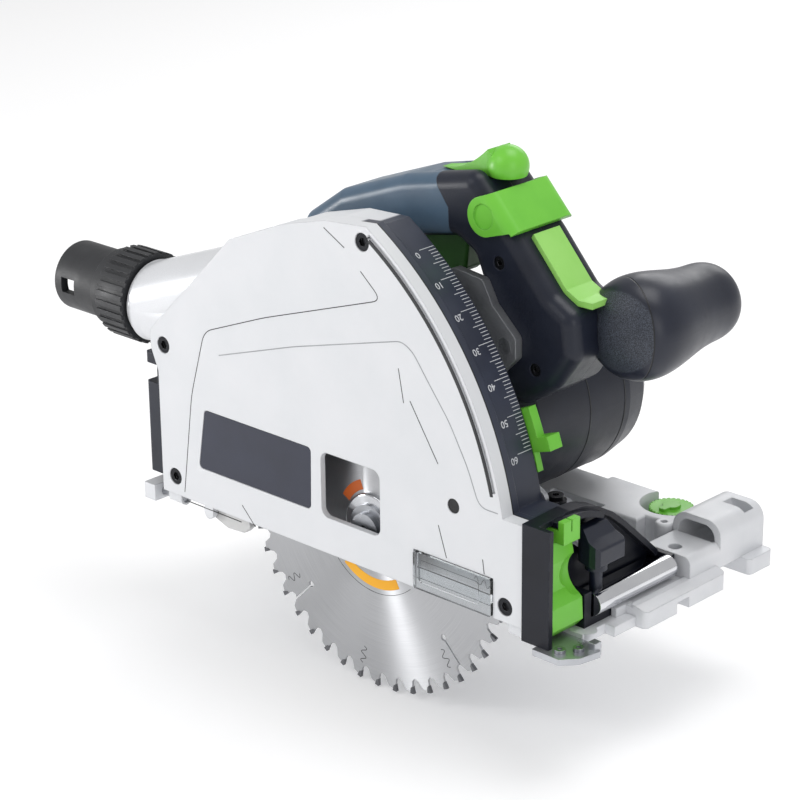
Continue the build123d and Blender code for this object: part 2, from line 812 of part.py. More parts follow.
def hood_cover():
    """White outer cover of the hood with window, guard opening, label recess and bosses."""
    outline = hood_outline(rim_radius)
    body = shell_of(outline, hood_left, hood_split, hood_panel, "left")
    inside = along_y(outline, hood_left, hood_split)
    for x, z, radius in cover_screw_places:
        body = body + (rod_y(radius, hood_left + 1, hood_split, x, z) & inside)
    for x, z, radius in cover_screw_places:
        body = body - rod_y(4.4, hood_left - 1, hood_left + 2.4, x, z)
        body = body - rod_y(1.7, hood_left - 1, hood_split + 1, x, z)
    gx0, gx1, gz0, gz1 = guard_opening
    body = body - along_y(soft_rectangle(*window_box, 4.5), hood_left - 1, hood_left + 5)
    body = body - along_y(rectangle(gx0, gx1, gz0 - 5, gz1), hood_left - 1, hood_left + 5)
    body = body - along_y(soft_polygon(2.5, *label_corners), hood_left - 1, hood_left + 0.8)
    body = body - along_y(sector(arc_x, arc_z, 174.0, 176.2, 14.5, 57.5), hood_left - 1, hood_left + 1.4)
    body = body - rod_y(3.6, hood_left - 1, hood_left + 5, *plug_place)
    for x0, x1 in ((92.0, hood_front), (-136.5, -127.0)):
        body = body + rod_x(3.6, x0, x1, tilt_y, tilt_z) + block(x0, x1, -71.6, -64.4, 4, 10)
    sensor_lug = disc(3.2, *sensor_pivot) + rectangle(-106.8, -100.4, 4.6, 9.0)
    body = body + along_y(sensor_lug, hood_left, hood_left + hood_panel)
    body = body - rod_y(1.5, hood_left + 0.8, -60, *sensor_pivot)
    return body - rod_x(tilt_pin_radius + running_gap, -160, 160, tilt_y, tilt_z)


def label_plate():
    return along_y(offset(soft_polygon(2.5, *label_corners), -0.3), hood_left + 0.05, hood_left + 0.8)


def cover_plug():
    """Rubber plug in the small round hole of the cover."""
    return rod_y(3.6, hood_left + 0.4, hood_left + 3.4, *plug_place)


def chip_guard():
    """Clear splinter guard that slides down against the work."""
    gx0, gx1, gz0, gz1 = guard_opening
    face = soft_rectangle(gx0 + 0.5, gx1 - 0.5, gz0 + 0.3, gz1 - 0.6, 1.2)
    plate = along_y(face, hood_left - 1.0, hood_left + 1.4)
    hollow = soft_rectangle(gx0 + 4, gx1 - 8, gz0 + 4, gz1 - 4, 2.0)
    recess = along_y(hollow, hood_left - 2.0, hood_left - 0.2)
    flange = block(gx0 - 1.8, gx1 + 1.8, hood_left + 3.2, hood_left + 4.6, gz0 + 4, gz1 + 3.0)
    stem = block(gx0 + 2, gx1 - 2, hood_left + 1.0, hood_left + 3.4, gz1 - 9.0, gz1 - 1.2)
    return plate - recess + stem + flange


def cover_screws():
    screws = []
    for x, z, radius in cover_screw_places:
        head = rod_y(4.2, hood_left + 0.4, hood_left + 2.4, x, z)
        star = Pos(x, 0, z) * along_y(RegularPolygon(2.3, 6), hood_left - 1, hood_left + 1.8)
        screws.append(head - star + rod_y(1.7, hood_left + 2.4, hood_split + 8, x, z))
    return screws


def spindle_slot():
    """Opening in the inner hood wall swept by the gear case neck as the head plunges."""
    reach = hypot(spindle_x - pivot_x, spindle_z - pivot_z)
    start = degrees(atan2(spindle_z - pivot_z, spindle_x - pivot_x))
    stop = start + plunge_range
    half = 20.4
    band = sector(pivot_x, pivot_z, reach - half, reach + half, start, stop)
    low_end = disc(half, *polar(pivot_x, pivot_z, reach, start))
    high_end = disc(half, *polar(pivot_x, pivot_z, reach, stop))
    return band + low_end + high_end + rectangle(spindle_x - half, spindle_x + half, -5, spindle_z)


def blade_room():
    """Space the blade needs inside the hood from full plunge to fully raised."""
    reach = hypot(spindle_x - pivot_x, spindle_z - pivot_z)
    start = degrees(atan2(spindle_z - pivot_z, spindle_x - pivot_x))
    raised = polar(pivot_x, pivot_z, reach, start + plunge_range)
    return along_y(disc(84.7, *raised) + disc(84.7, spindle_x, spindle_z), hood_split - 1, blade_y + 1.5)


plunge_range = 34.5


def hood_body():
    """Dark inner half of the hood: scale rim, inner wall with the spindle slot, pivot boss."""
    outline = hood_outline(scale_radius)
    body = shell_of(outline, hood_split, hood_right, 2.5, "right")
    inside = along_y(outline, hood_split, hood_right)
    for x, z, radius in cover_screw_places:
        body = body + (rod_y(radius, hood_split, hood_right - 1, x, z) & inside)
    body = body - blade_room()
    body = body - along_y(spindle_slot(), -50, hood_right + 1)
    body = body + rod_y(12.0, -60.0, hood_right, pivot_x, pivot_z)
    body = body - along_y(sector(arc_x, arc_z, 160.0, 164.0, 15.0, 58.0), -50, hood_right + 1)
    body = body - rod_x(17.0, -150, -100, port_y, port_z)
    for x, z, radius in cover_screw_places:
        body = body - rod_y(1.7, hood_split - 1, hood_split + 8, x, z)
    return body - rod_y(pivot_pin_radius, -70, -40, pivot_x, pivot_z)


def plunge_pin():
    shank = rod_y(pivot_pin_radius, -60.0, -27.0, pivot_x, pivot_z)
    return shank + rod_y(11.0, -27.0, -24.5, pivot_x, pivot_z)


def return_spring():
    """Torsion spring round the plunge pin, drawn as its coil."""
    path = Helix(pitch=1.9, height=3.0, radius=8.0)
    section = Plane(origin=path @ 0, z_dir=path % 0) * Circle(0.7)
    coil = sweep(section, path=path)
    return Pos(pivot_x, -30.75, pivot_z) * Rot(-90, 0, 0) * coil


def scale_foot():
    """Bright bracket at the bottom of the depth scale, held by a screw with a washer."""
    plate = soft_polygon(4.0, (66, 44), (66, 56), (70, 64.0), (83, 64.0), (90.5, 60.0), (92, 44))
    upright = along_y(plate, hood_right, hood_right + 2.5)
    foot = along_z(belt((80, hood_right + 6, 6.0), (90, hood_right + 8, 7.5)), 52.0, 54.5)
    foot = foot & block(60, 120, hood_right, 0, 0, 100)
    return upright + foot - rod_z(2.2, 45, 60, 90, hood_right + 8)


def scale_foot_screw():
    head = rod_z(3.8, 55.7, 58.2, 90, hood_right + 8)
    socket = Pos(90, hood_right + 8, 0) * along_z(RegularPolygon(1.8, 6), 56.6, 59.0)
    washer = rod_z(5.2, 54.5, 55.7, 90, hood_right + 8)
    return head + washer + rod_z(2.2, 48.0, 54.5, 90, hood_right + 8) - socket


def rear_cover():
    """Grained strip that closes the rear of the hood, with a finger recess at its top."""
    strip = block(-151.0, hood_rear, -70.5, -55.0, 14.0, 78.2)
    strip = eased(strip, strip.edges().filter_by(Axis.Z).group_by(Axis.X)[0], 2.0)
    strip = strip - block(-153, -142.5, -71.0, -59.0, 62.5, 72.5)
    strip = strip - along_y(hood_outline(rim_radius), -80, hood_split)
    return strip - along_y(hood_outline(scale_radius), hood_split, -40)


def rising_duct(width, corner, start):
    """Rounded square duct along the pipe that climbs towards the top of the hood."""
    mouth = Plane(origin=(start, port_y, port_z), x_dir=(0, 1, 0), z_dir=(1, 0, 0))
    return extrude(mouth * RectangleRounded(width, width, corner), amount=96.0, dir=duct_slope)


def dust_pipe():
    """White extraction pipe whose upper half widens into a duct along the sloping rear of the hood."""
    outer = rod_x(20.5, -160.0, -112.0, port_y, port_z) + rising_duct(41.0, 18.0, -158.0)
    bore = rod_x(17.0, -162.0, -100.0, port_y, port_z) + rising_duct(35.0, 15.0, -150.0)
    keep_out = along_y(hood_outline(scale_radius), hood_split, hood_right + 40)
    keep_out = keep_out + along_y(hood_outline(rim_radius), hood_left - 10, hood_split)
    return outer - bore - keep_out


def dust_swivel():
    """Swivelling hose connector: knurled locking ring and dark stub."""
    ring = Circle(23.6)
    for index in range(30):
        ring = ring - Rot(0, 0, index * 12) * rectangle(22.6, 24.5, -1.1, 1.1)
    knurled = Pos(-180.5, port_y, port_z) * Rot(0, 90, 0) * extrude(ring, amount=19.0)
    body = knurled + rod_x(port_outer, -219.0, -180.0, port_y, port_z)
    body = body + rod_x(20.5, -188.0, -180.0, port_y, port_z)
    body = body + rod_x(17.0 - running_gap, -180.0, -152.0, port_y, port_z)
    body = body - rod_x(port_inner, -222.0, -142.0, port_y, port_z)
    return body - block(-214.0, -204.0, port_y - 30, port_y - 12, port_z - 4, port_z + 4)


def sensor_paddle():
    """Light paddle under the rear of the hood that feels the rail or the work."""
    face = soft_polygon(1.6, (-107.0, 6.0), (-103.0, 1.2), (-94, -1.9), (-82, -1.2), (-77.5, 3.0), (-79, 6.8))
    paddle = along_y(face, -70.6, -66.6)
    return paddle - rod_y(1.5 + running_gap, -80, -60, *sensor_pivot)


def sensor_pin():
    return rod_y(1.5, hood_left + 0.8, -65.6, *sensor_pivot)


def depth_stop():
    """Green slider on the depth scale with a pointer tab."""
    near = hood_right + loose_gap
    body = along_y(sector(arc_x, arc_z, 158.0, 180.0, 18.4, 24.6), near, near + 5.0)
    body = body + along_y(sector(arc_x, arc_z, 168.0, 186.0, 17.9, 20.0), near, near + 8.4)
    body = body + along_y(sector(arc_x, arc_z, 170.0, 176.0, 14.9, 18.4), near, near + 3.5)
    return body + along_y(sector(arc_x, arc_z, 160.5, 163.5, 18.8, 22.0), hood_right - 2.4, near + 0.5)


# ---------------------------------------------------------------- sole
def groove_cut():
    return block(sole_rear - 10, sole_front + 12, groove_left, groove_right, -1, groove_height)


def deck():
    """Raised deck over the rail groove with wheel wells, a round nose and an ear."""
    plan = rectangle(-143, wheel_x, deck_left, deck_right) + disc(20.5, wheel_x, wheel_y)
    plan = plan & rectangle(-143, girder_back + 1, deck_left, deck_right)
    plan = plan + disc(4.5, *ear_place) + rectangle(ear_place[0] - 4.5, ear_place[0] + 4.5, ear_place[1], 46)
    body = along_z(plan, groove_height, deck_top)
    body = eased(body, body.faces().sort_by(Axis.Z)[-1].edges(), 1.2)
    body = body + block(-143, 98, deck_left, groove_left, 0, groove_height + 1)
    body = body + block(-143, 102, groove_right, deck_right, 0, groove_height + 1)
    for x in (wheel_x, wheel_rear_x):
        body = body - rod_z(well_radius, well_floor, deck_top + 9, x, wheel_y)
        body = body - rod_z(2.5 + running_gap, 1.2, well_floor + 1, x, wheel_y)
    body = body - block(-88, 60, groove_left + 2, groove_right - 2, groove_height - 1, deck_top - 4)
    body = body - block(-70, 42, deck_right - 4.5, deck_right + 1, deck_top - 5, deck_top + 1)
    body = body - block(30, 62, deck_left - 1, deck_left + 4, deck_top - 4, deck_top + 1)
    return body - rod_z(1.7, 10, 40, *ear_place)


ear_place = (95.0, 37.5)
well_radius = 15.5
well_floor = 10.0


def girder():
    """Front girder: low part with a hollow, high part with an arched hollow and a notch."""
    low = block(girder_back, sole_front, 15, 40, 0, girder_low)
    low = eased(low, low.edges().filter_by(Axis.Y).group_by(Axis.Z)[-1].sort_by(Axis.X)[-1:], 4.0)
    high = block(girder_back - 2, sole_front, 38, sole_right, 0, girder_high)
    high = eased(high, high.edges().filter_by(Axis.Y).group_by(Axis.Z)[-1], 8.0)
    hollow = along_y(soft_rectangle(girder_back + 1.5, sole_front - 3.5, 11, girder_high - 3, 6.0), 37, 62)
    notch = rod_y(6.5, 60.0, 67.0, 119.0, girder_high)
    hole = rod_z(3.2, 8, 40, 114.0, 21.5)
    return low + high - hollow - notch - hole


def front_arm():
    """Low arm in front of the blade slot that carries the bevel segment."""
    arm = block(girder_back, 122.5, -56, 15, 0, arm_top) + rod_z(4.4, 0, arm_top, 121.0, -50.6)
    rail = block(119.4, sole_front, -25, 15, 0, 9.0) + block(119.0, sole_front, -40, -25, 0, arm_top)
    rail = eased(rail, rail.edges().filter_by(Axis.Y).group_by(Axis.Z)[-1].sort_by(Axis.X)[-1:], 3.0)
    clip = block(119.4, 122.4, -32, -21, arm_top - 1, 9.5)
    return arm + rail + clip


def pads():
    long_pad = along_z(soft_rectangle(sole_front - 3.5, sole_front + pad_depth, -25, 35, 2.5), 0, 10)
    slope = Pos(sole_front + 3.0, 5, 12.2) * Rot(0, 16, 0) * Box(12, 80, 6)
    end_pad = along_z(soft_rectangle(sole_front - 8, sole_front + pad_depth, 54, sole_right, 2.5), 0, 8)
    slot = block(sole_front, sole_front + 12, -2, 7, -1, 5.5)
    return long_pad + end_pad - slot - (slope & block(sole_front, sole_front + 12, -40, 40, 0, 20))


arm_top = 5.0


def base_plate():
    """Die-cast sole: floor, ribs, deck, girder, arms and pads."""
    body = block(-143, sole_front, sole_left, sole_right, 0, sole_floor)
    body = body - block(102.9, 140, sole_left - 1, 15, -1, 20) - block(-64, 44, sole_left - 1, -12, 2.4, 12)
    body = body + block(-143, girder_back, sole_right - 5, sole_right, 0, 13)
    body = body + block(-143, -139, sole_left + 20, sole_right, 0, 13)
    for y in (-8, 12):
        body = body + block(-143, girder_back + 1, y, y + 3, 0, 10)
    for x in (-96, -48, 0, 48):
        body = body + block(x - 1.5, x + 1.5, -7, deck_left + 1, 0, 9)
    body = body - block(-144, girder_back + 0.5, deck_left, deck_right, -1, 20)
    body = body + deck() + girder() + front_arm() + pads()
    body = body + block(sole_rear, -143, -75, 36, 0, 8.6)
    body = body - groove_cut() - rod_x(tilt_pin_radius, sole_rear - 1, -142, tilt_y, tilt_z)
    for y0, y1 in glide_lanes:
        body = body - along_z(soft_rectangle(-140, 98, y0, y1, 3), -1, 1.2)
    for x, y in segment_screw_places:
        body = body - rod_z(1.8, 1.4, 30, x, y)
    for x in (wheel_x, wheel_rear_x):
        body = body - rod_z(wheel_radius + 1.0, well_floor, 40, x, wheel_y)
    return body


glide_lanes = ((-4.0, 9.0), (56.0, 65.0))
segment_screw_places = ((113.0, -42.0), (113.0, 2.0))


def glide_strips():
    """Low-friction strips let into the underside of the sole."""
    return [along_z(soft_rectangle(-140, 98, y0, y1, 3), 0, 1.2) for y0, y1 in glide_lanes]


def guide_wheel(x):
    """Knurled wheel whose shaft takes up play on the guide rail."""
    wheel = Circle(wheel_radius)
    for index in range(28):
        notch = rectangle(wheel_radius - 0.8, wheel_radius + 1, -0.5, 0.5)
        wheel = wheel - Rot(0, 0, index * 360 / 28) * notch
    knurled = Pos(x, wheel_y) * extrude(Plane.XY.offset(well_floor + 0.4) * wheel, amount=9.6)
    knurled = knurled + rod_z(4.5, 19.0, 21.5, x, wheel_y) + rod_z(2.5, 1.5, 11.0, x, wheel_y)
    return knurled + along_z(soft_rectangle(x - 2, x + 2, wheel_y - 8, wheel_y - 3, 1.0), 19.0, 21.5)


def sight_foot():
    """Bright front foot beside the blade slot, butted to the front arm."""
    plate = soft_polygon(
        1.2,
        (112, -79), (128, -79), (134, -72), (136.5, -60), (130, -56), (106.4, -56), (106.4, -64), (112, -64),
    )
    return along_z(plate, 0, 3.0) + block(130.6, 134.6, -62, -57.5, 0, 6.5)


def foot_screws():
    screws = []
    for x, y in ((123.6, -73), (128.6, -66)):
        screws.append(rod_z(2.6, 3.0, 4.8, x, y) + rod_z(1.3, 0.8, 3.0, x, y) - rod_z(1.2, 3.8, 6, x, y))
    return screws


def segment_outline():
    """Front view of the bevel segment in (y, z): arc top, sloping shoulder and tray."""
    return polygon(
        (-75.5, 3.0), (-75.5, 60.0), (-64, 60.4), (-52.0, 61.0), (-42.0, 60.0), (-32.0, 56.6), (-22.0, 51.0),
        (-12.0, 43.0), (0.0, 32.0), (12.0, 21.0), (14.6, 16.0), (14.6, 5.0), (-56.0, 5.0), (-56.0, 3.0),
    )


def front_segment():
    """Black bevel segment: back wall with an arc slot, ledge along the arc and a clamp bar tray."""
    outline = segment_outline()
    body = along_x(outline, seg_back, seg_back + 2.5)
    rim = outline - offset(outline, -2.6)
    body = body + (along_x(rim, seg_back, 111.0) & block(90, 130, -80, 20, 18, 70))
    ledge = sector(-57.0, 1.0, 56.4, 59.2, 64, 97)
    body = body + along_x(ledge & outline, seg_back, 114.0)
    body = body + block(seg_back, seg_front, -75.5, -72.8, 3.0, 60.0)
    body = body + block(seg_back, seg_front, -47.8, 14.6, 5.0, 9.0)
    body = body + block(seg_back, seg_front, 11.8, 14.6, 5.0, 20.0)
    body = body + block(seg_back, seg_front, -50.6, -46.0, 5.0, 22.0)
    body = body - along_x(sector(tilt_y, tilt_z, 44.0, 48.0, 40, 80), 100.0, 106.5)
    body = body + rod_x(4.0, seg_back, seg_back + 4.4, tilt_y, tilt_z)
    body = body - rod_x(tilt_pin_radius, 100, 107.0, tilt_y, tilt_z)
    for x, y in segment_screw_places:
        body = body - rod_z(1.8, 1, 12, x, y)
    return body - rod_z(2.6, 4, 12, *stud_place)


seg_back = 103.2
seg_front = 119.0
stud_place = (114.2, -37.0)


def undercut_lever():
    """Green lever with a cupped thumb recess, hung on a pin at its foot."""
    side = polygon(
        (108.9, 8.5), (108.9, 49.0), (111.2, 49.0), (113.2, 40.0), (112.6, 26.0), (118.2, 21.0),
        (118.8, 10.5), (114.0, 5.5), (111.0, 5.5),
    )
    body = along_y(side, -72.2, -51.4)
    body = body - Pos(121.0, -53.0, 33.0) * Sphere(11.5)
    return body - rod_y(1.5 + running_gap, -80, -50, *undercut_pivot)


undercut_pivot = (112.2, 8.2)


def undercut_pin():
    return rod_y(1.5, -72.8, -50.6, *undercut_pivot)


def angle_pointer():
    """Green pointer block above the lever."""
    body = block(105.7, 117.6, -64.0, -53.0, 49.8, 56.2) + block(114.3, 117.6, -64.0, -53.0, 49.8, 60.6)
    return body - block(112, 118, -59.0, -58.2, 55.0, 63)


def clamp_bar():
    """Bright clamp bar in the tray: round nose and flat heel with the stud hole."""
    bar = rod_y(5.4, -45.0, 11.0, 118.5, 15.0)
    heel = block(107.0, 118.5, -45.0, 11.0, 9.6, 17.0)
    return bar + heel - rod_z(3.0 + running_gap, 5, 30, *stud_place)


def front_knob():
    """Wing knob on its upright stud over the clamp bar."""
    sx, sy = stud_place
    side = soft_polygon(
        1.6, (sx - 8.3, 33.5), (sx - 8.3, 46.5), (sx - 5.5, 50.6), (sx - 1.0, 50.2), (sx + 3.2, 45.6),
        (sx + 9.5, 43.0), (sx + 9.5, 34.8), (sx + 7.0, 33.5),
    )
    plan = disc(8.3, sx, sy) + polygon(
        (sx - 2, sy - 8.0), (sx + 4, sy - 9.8), (sx + 7.5, sy - 9.8), (sx + 9.5, sy - 8.4),
        (sx + 9.5, sy + 8.4), (sx + 7.5, sy + 9.8), (sx + 4, sy + 9.8), (sx - 2, sy + 8.0),
    )
    grip = along_y(side, sy - 12, sy + 12) & along_z(plan, 30, 60)
    return grip + rod_z(5.2, 29.0, 34.0, sx, sy) + rod_z(3.0, 9.8, 34.0, sx, sy)


def rear_segment():
    """Rear bevel segment: a plain arc plate on the rear arm of the sole."""
    outline = polygon(
        (-34.0, 8.6), (-44.0, 26.0), (-44.0, 56.0), (-40, 59.0),
        (-22.0, 52.0), (0, 33.0), (12, 21.0), (14, 8.6),
    )
    plate = along_x(outline, -150.5, -146.5) + block(-150.5, -144.0, -34, 14, 8.6, 12.0)
    plate = plate - along_x(sector(tilt_y, tilt_z, 46.0, 50.0, 28, 66), -153, -140)
    return plate


def rear_knob():
    """Rear bevel clamp knob with its stud through the arc slot."""
    y, z = rear_knob_place
    hub = rod_x(9.0, -166.0, -150.9, y, z)
    hub = eased(hub, hub.edges().group_by(Axis.X)[0], 3.0)
    wing = along_x(belt((y, z, 7.0), (y + 13.0, z + 6.0, 4.0)), -164.0, -155.0)
    return hub + wing + rod_x(1.95, -152.0, -144.5, y, z)


rear_knob_place = polar(tilt_y, tilt_z, 48.0, 42.0)


def tilt_pins():
    front = rod_x(tilt_pin_radius, 93.0, 107.0, tilt_y, tilt_z)
    rear = rod_x(tilt_pin_radius, sole_rear, -128.0, tilt_y, tilt_z)
    return [front, rear]


def segment_screws():
    """Screws that hold the bevel segment to the sole arm."""
    return [rod_z(1.8, 1.4, 9.0, x, y) for x, y in segment_screw_places]


# ---------------------------------------------------------------- sub-parts
def housing_screws():
    """Screws that join the motor housing flange to the bearing plate."""
    screws = []
    for angle in (15, 75, 135, 285):
        x, z = polar(motor_x, motor_z, 17.0, angle)
        screws.append(rod_y(3.0, -13.0, -10.6, x, z) + rod_y(1.5, -18.6, -13.0, x, z))
    return screws


def build_all():
    left, right = handle_halves()
    flange_screws = housing_screws()
    plate = bearing_plate()
    housing = motor_housing()
    for screw in flange_screws:
        plate = plate - screw
        housing = housing - screw
    screws_of_sole = foot_screws() + segment_screws()
    foot = sight_foot()
    for screw in foot_screws():
        foot = foot - screw
    save("base_plate", base_plate())
    save("glide_strips", *glide_strips())
    save("sight_foot", foot)
    save("sole_screws", *screws_of_sole)
    save("front_segment", front_segment())
    save("rear_segment", rear_segment())
    save("clamp_bar", clamp_bar())
    save("hinge_pins", *tilt_pins(), undercut_pin())
    save("undercut_lever", undercut_lever())
    save("angle_pointer", angle_pointer())
    save("front_knob", front_knob())
    save("rear_knob", rear_knob())
    save("guide_wheel_front", guide_wheel(wheel_x))
    save("guide_wheel_rear", guide_wheel(wheel_rear_x))
    save("hood_cover", hood_cover())
    save("hood_body", hood_body())
    save("label_plate", label_plate())
    save("cover_plug", cover_plug())
    save("hood_screws", *cover_screws(), scale_foot_screw())
    save("chip_guard", chip_guard())
    save("rear_cover", rear_cover())
    save("dust_pipe", dust_pipe())
    save("dust_swivel", dust_swivel())
    save("hood_pins", plunge_pin(), sensor_pin())
    save("return_spring", return_spring())
    save("sensor_paddle", sensor_paddle())
    save("scale_foot", scale_foot())
    save("depth_stop", depth_stop())
    save("gear_case", gear_case())
    save("bearing_plate", plate)
    save("stop_bar", stop_bar())
    save("motor_housing", housing)
    save("motor_cap", motor_cap())
    save("head_screws", *flange_screws, *handle_screws())
    save("handle_left", left)
    save("handle_right", right)
    save("grip_cover", grip_cover())
    save("handle_trim", handle_trim())
    save("front_grip", front_grip())
    save("stator_core", stator_core())
    save("stator_coils", *stator_coils())
    save("ball_bearings", *ball_bearings())
    save("control_board", control_board())
    save("switch_unit", switch_unit())
    save("power_inlet", power_inlet())
    save("trigger_pin", trigger_pin())
    save("spindle", spindle())
    save("drive_gear", drive_gear())
    save("outer_flange", outer_flange())
    save("saw_blade", saw_blade())
    save("carbide_tips", *carbide_tips())
    save("arbor_screw", arbor_screw())
    save("idler", idler())
    save("rotor", rotor())
    save("cooling_fan", cooling_fan())
    save("trigger", trigger())
    save("lock_button", lock_button())
    save("change_lever", change_lever())
    save("speed_dial", speed_dial())


if __name__ == "__main__":
    build_all()
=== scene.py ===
import json
import math

import bmesh
import bpy
from mathutils import Matrix, Vector


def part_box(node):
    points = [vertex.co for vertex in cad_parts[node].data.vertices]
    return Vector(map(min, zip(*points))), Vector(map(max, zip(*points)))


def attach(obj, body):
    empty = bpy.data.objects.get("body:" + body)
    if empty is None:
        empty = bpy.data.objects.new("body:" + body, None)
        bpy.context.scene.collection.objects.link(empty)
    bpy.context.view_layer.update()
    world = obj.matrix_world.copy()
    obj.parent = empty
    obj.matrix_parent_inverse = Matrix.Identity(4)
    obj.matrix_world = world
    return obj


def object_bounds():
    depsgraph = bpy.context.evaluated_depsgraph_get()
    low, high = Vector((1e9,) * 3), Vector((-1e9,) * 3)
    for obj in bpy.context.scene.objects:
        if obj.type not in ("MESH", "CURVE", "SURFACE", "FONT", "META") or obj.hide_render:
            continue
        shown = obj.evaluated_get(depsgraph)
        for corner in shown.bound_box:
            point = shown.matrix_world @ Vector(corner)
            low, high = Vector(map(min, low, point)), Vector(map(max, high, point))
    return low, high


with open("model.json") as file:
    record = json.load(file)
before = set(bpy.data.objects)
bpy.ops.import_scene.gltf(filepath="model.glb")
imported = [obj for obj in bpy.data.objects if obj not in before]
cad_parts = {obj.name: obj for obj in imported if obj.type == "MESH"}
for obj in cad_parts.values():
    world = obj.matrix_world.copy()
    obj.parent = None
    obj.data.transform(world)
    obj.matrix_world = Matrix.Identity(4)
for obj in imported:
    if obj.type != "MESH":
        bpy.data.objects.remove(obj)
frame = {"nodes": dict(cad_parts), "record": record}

cad_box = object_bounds()

# Places and lengths below are in millimetres and angles in degrees.
MM = 0.001

# Camera fitted to the photograph: place, then azimuth, elevation and roll.
CAMERA_PLACE = (790.4, -873.6, 523.6)
CAMERA_ANGLES = (43.62, 21.04, -0.625)
FOCAL_PIXELS = 2611.4
PICTURE_PIXELS = 800

# Front grip: the slanted seam and the grained oval patch.
SEAM_X = 101.0
SEAM_SLOPE = -0.42
PATCH_X, PATCH_Z = 103.0, 132.0
PATCH_HALF_WIDTH, PATCH_HALF_HEIGHT = 20.5, 18.5

# Curved depth scale: centre and radius of its rim, and the dark band painted on the cover.
RIM_X, RIM_Z, RIM_R = -84.0, 25.0, 175.6
BAND_TOP = 72.0
BAND_Y = -67.6
BAND_INNER_R = 172.0
GROOVE_R = 173.4

# Marks on the scale: the turn at depth 0, the turn per millimetre of depth, and the sizes.
ZERO_TURN = 52.4
TURN_PER_DEPTH = 0.5633
TICK_Y = -45.4
TICK_HALF_WIDTH = 0.16
TICK_HALF_HEIGHT = 0.05
DIGIT_Y = -57.7
DIGIT_SIZE = 4.6
DIGIT_DROP = 0.7

# Depth of the thin lines on the side panel of the hood and of the print on the blade.
PANEL_NEAR, PANEL_FAR = -74.46, -74.2
PRINT_NEAR, PRINT_FAR = -62.64, -62.5

# Blade: height of its axis and the wavy expansion slots.
SPINDLE_Z = 24.0
SLOT_TURNS = (-142.0, -97.0, -50.0, -5.0, 40.0, 85.0, 130.0, 175.0)
SLOT_START, SLOT_LENGTH = 66, 9.5
SLOT_SWAY = 1.7
SLOT_STEPS = 24

# Duct beside the hood: the round pipe, the squared duct, the wall, and where it fades out.
PIPE_Y, PIPE_Z, PIPE_R = -53.0, 99.2, 20.5
DUCT_Y, DUCT_CORNER = -32.5, 18.0
ACROSS_DUCT = 0.631
DUCT_LOW_OFFSET, DUCT_HIGH_Z = 50.4, 144.8
DUCT_SINK = 13.5
WALL_Y = -45.5
FADE_X, FADE_Z, FADE_SLOPE = -102.0, 84.0, 0.33
FADE_LENGTH = 18.0
FAIRING_LOW_Z, FAIRING_RISE = 79.0, 67.0
REAR_EDGE_X, REAR_EDGE_Z, REAR_EDGE_SLOPE = -141.5, 93.0, 1.0136
REAR_LIMIT_X = -142.2
FAIRING_BACK = 0.3

# Motor barrel: axis, radius of the joint lines and the distance between them.
MOTOR_X, MOTOR_Z, MOTOR_RADIUS = 14.0, 70.0, 44.3
RING_SPACING = 26.0
RING_HALF_WIDTH = 0.35


def srgb(r, g, b):
    """Linear colour from 8-bit display values."""
    out = []
    for value in (r, g, b):
        v = value / 255
        out.append(v / 12.92 if v <= 0.04045 else ((v + 0.055) / 1.055) ** 2.4)
    return (*out, 1.0)


# ---------------------------------------------------------------- camera and stage
def make_camera():
    """Long lens, three-quarter view from the front left and slightly above."""
    azimuth, elevation, roll = (math.radians(a) for a in CAMERA_ANGLES)
    back = Vector((
        math.sin(azimuth) * math.cos(elevation),
        -math.cos(azimuth) * math.cos(elevation),
        math.sin(elevation),
    ))
    right = Vector((math.cos(azimuth), math.sin(azimuth), 0))
    up = back.cross(right)
    across = math.cos(roll) * right + math.sin(roll) * up
    upright = math.cos(roll) * up - math.sin(roll) * right
    data = bpy.data.cameras.new("camera")
    data.sensor_width = 36.0
    data.lens = FOCAL_PIXELS / PICTURE_PIXELS * data.sensor_width
    data.clip_start = 0.05
    data.clip_end = 50
    cam = bpy.data.objects.new("camera", data)
    turn = Matrix((across, upright, back)).transposed()
    cam.matrix_world = Matrix.Translation(Vector(CAMERA_PLACE) * MM) @ turn.to_4x4()
    bpy.context.scene.collection.objects.link(cam)
    bpy.context.scene.camera = cam


def area_light(name, place, aim, size, power, colour=(1, 1, 1)):
    data = bpy.data.lights.new(name, "AREA")
    data.shape = "RECTANGLE"
    data.size, data.size_y = size
    data.energy = power
    data.color = colour
    lamp = bpy.data.objects.new(name, data)
    lamp.location = place
    lamp.rotation_euler = (Vector(aim) - Vector(place)).to_track_quat("-Z", "Y").to_euler()
    bpy.context.scene.collection.objects.link(lamp)


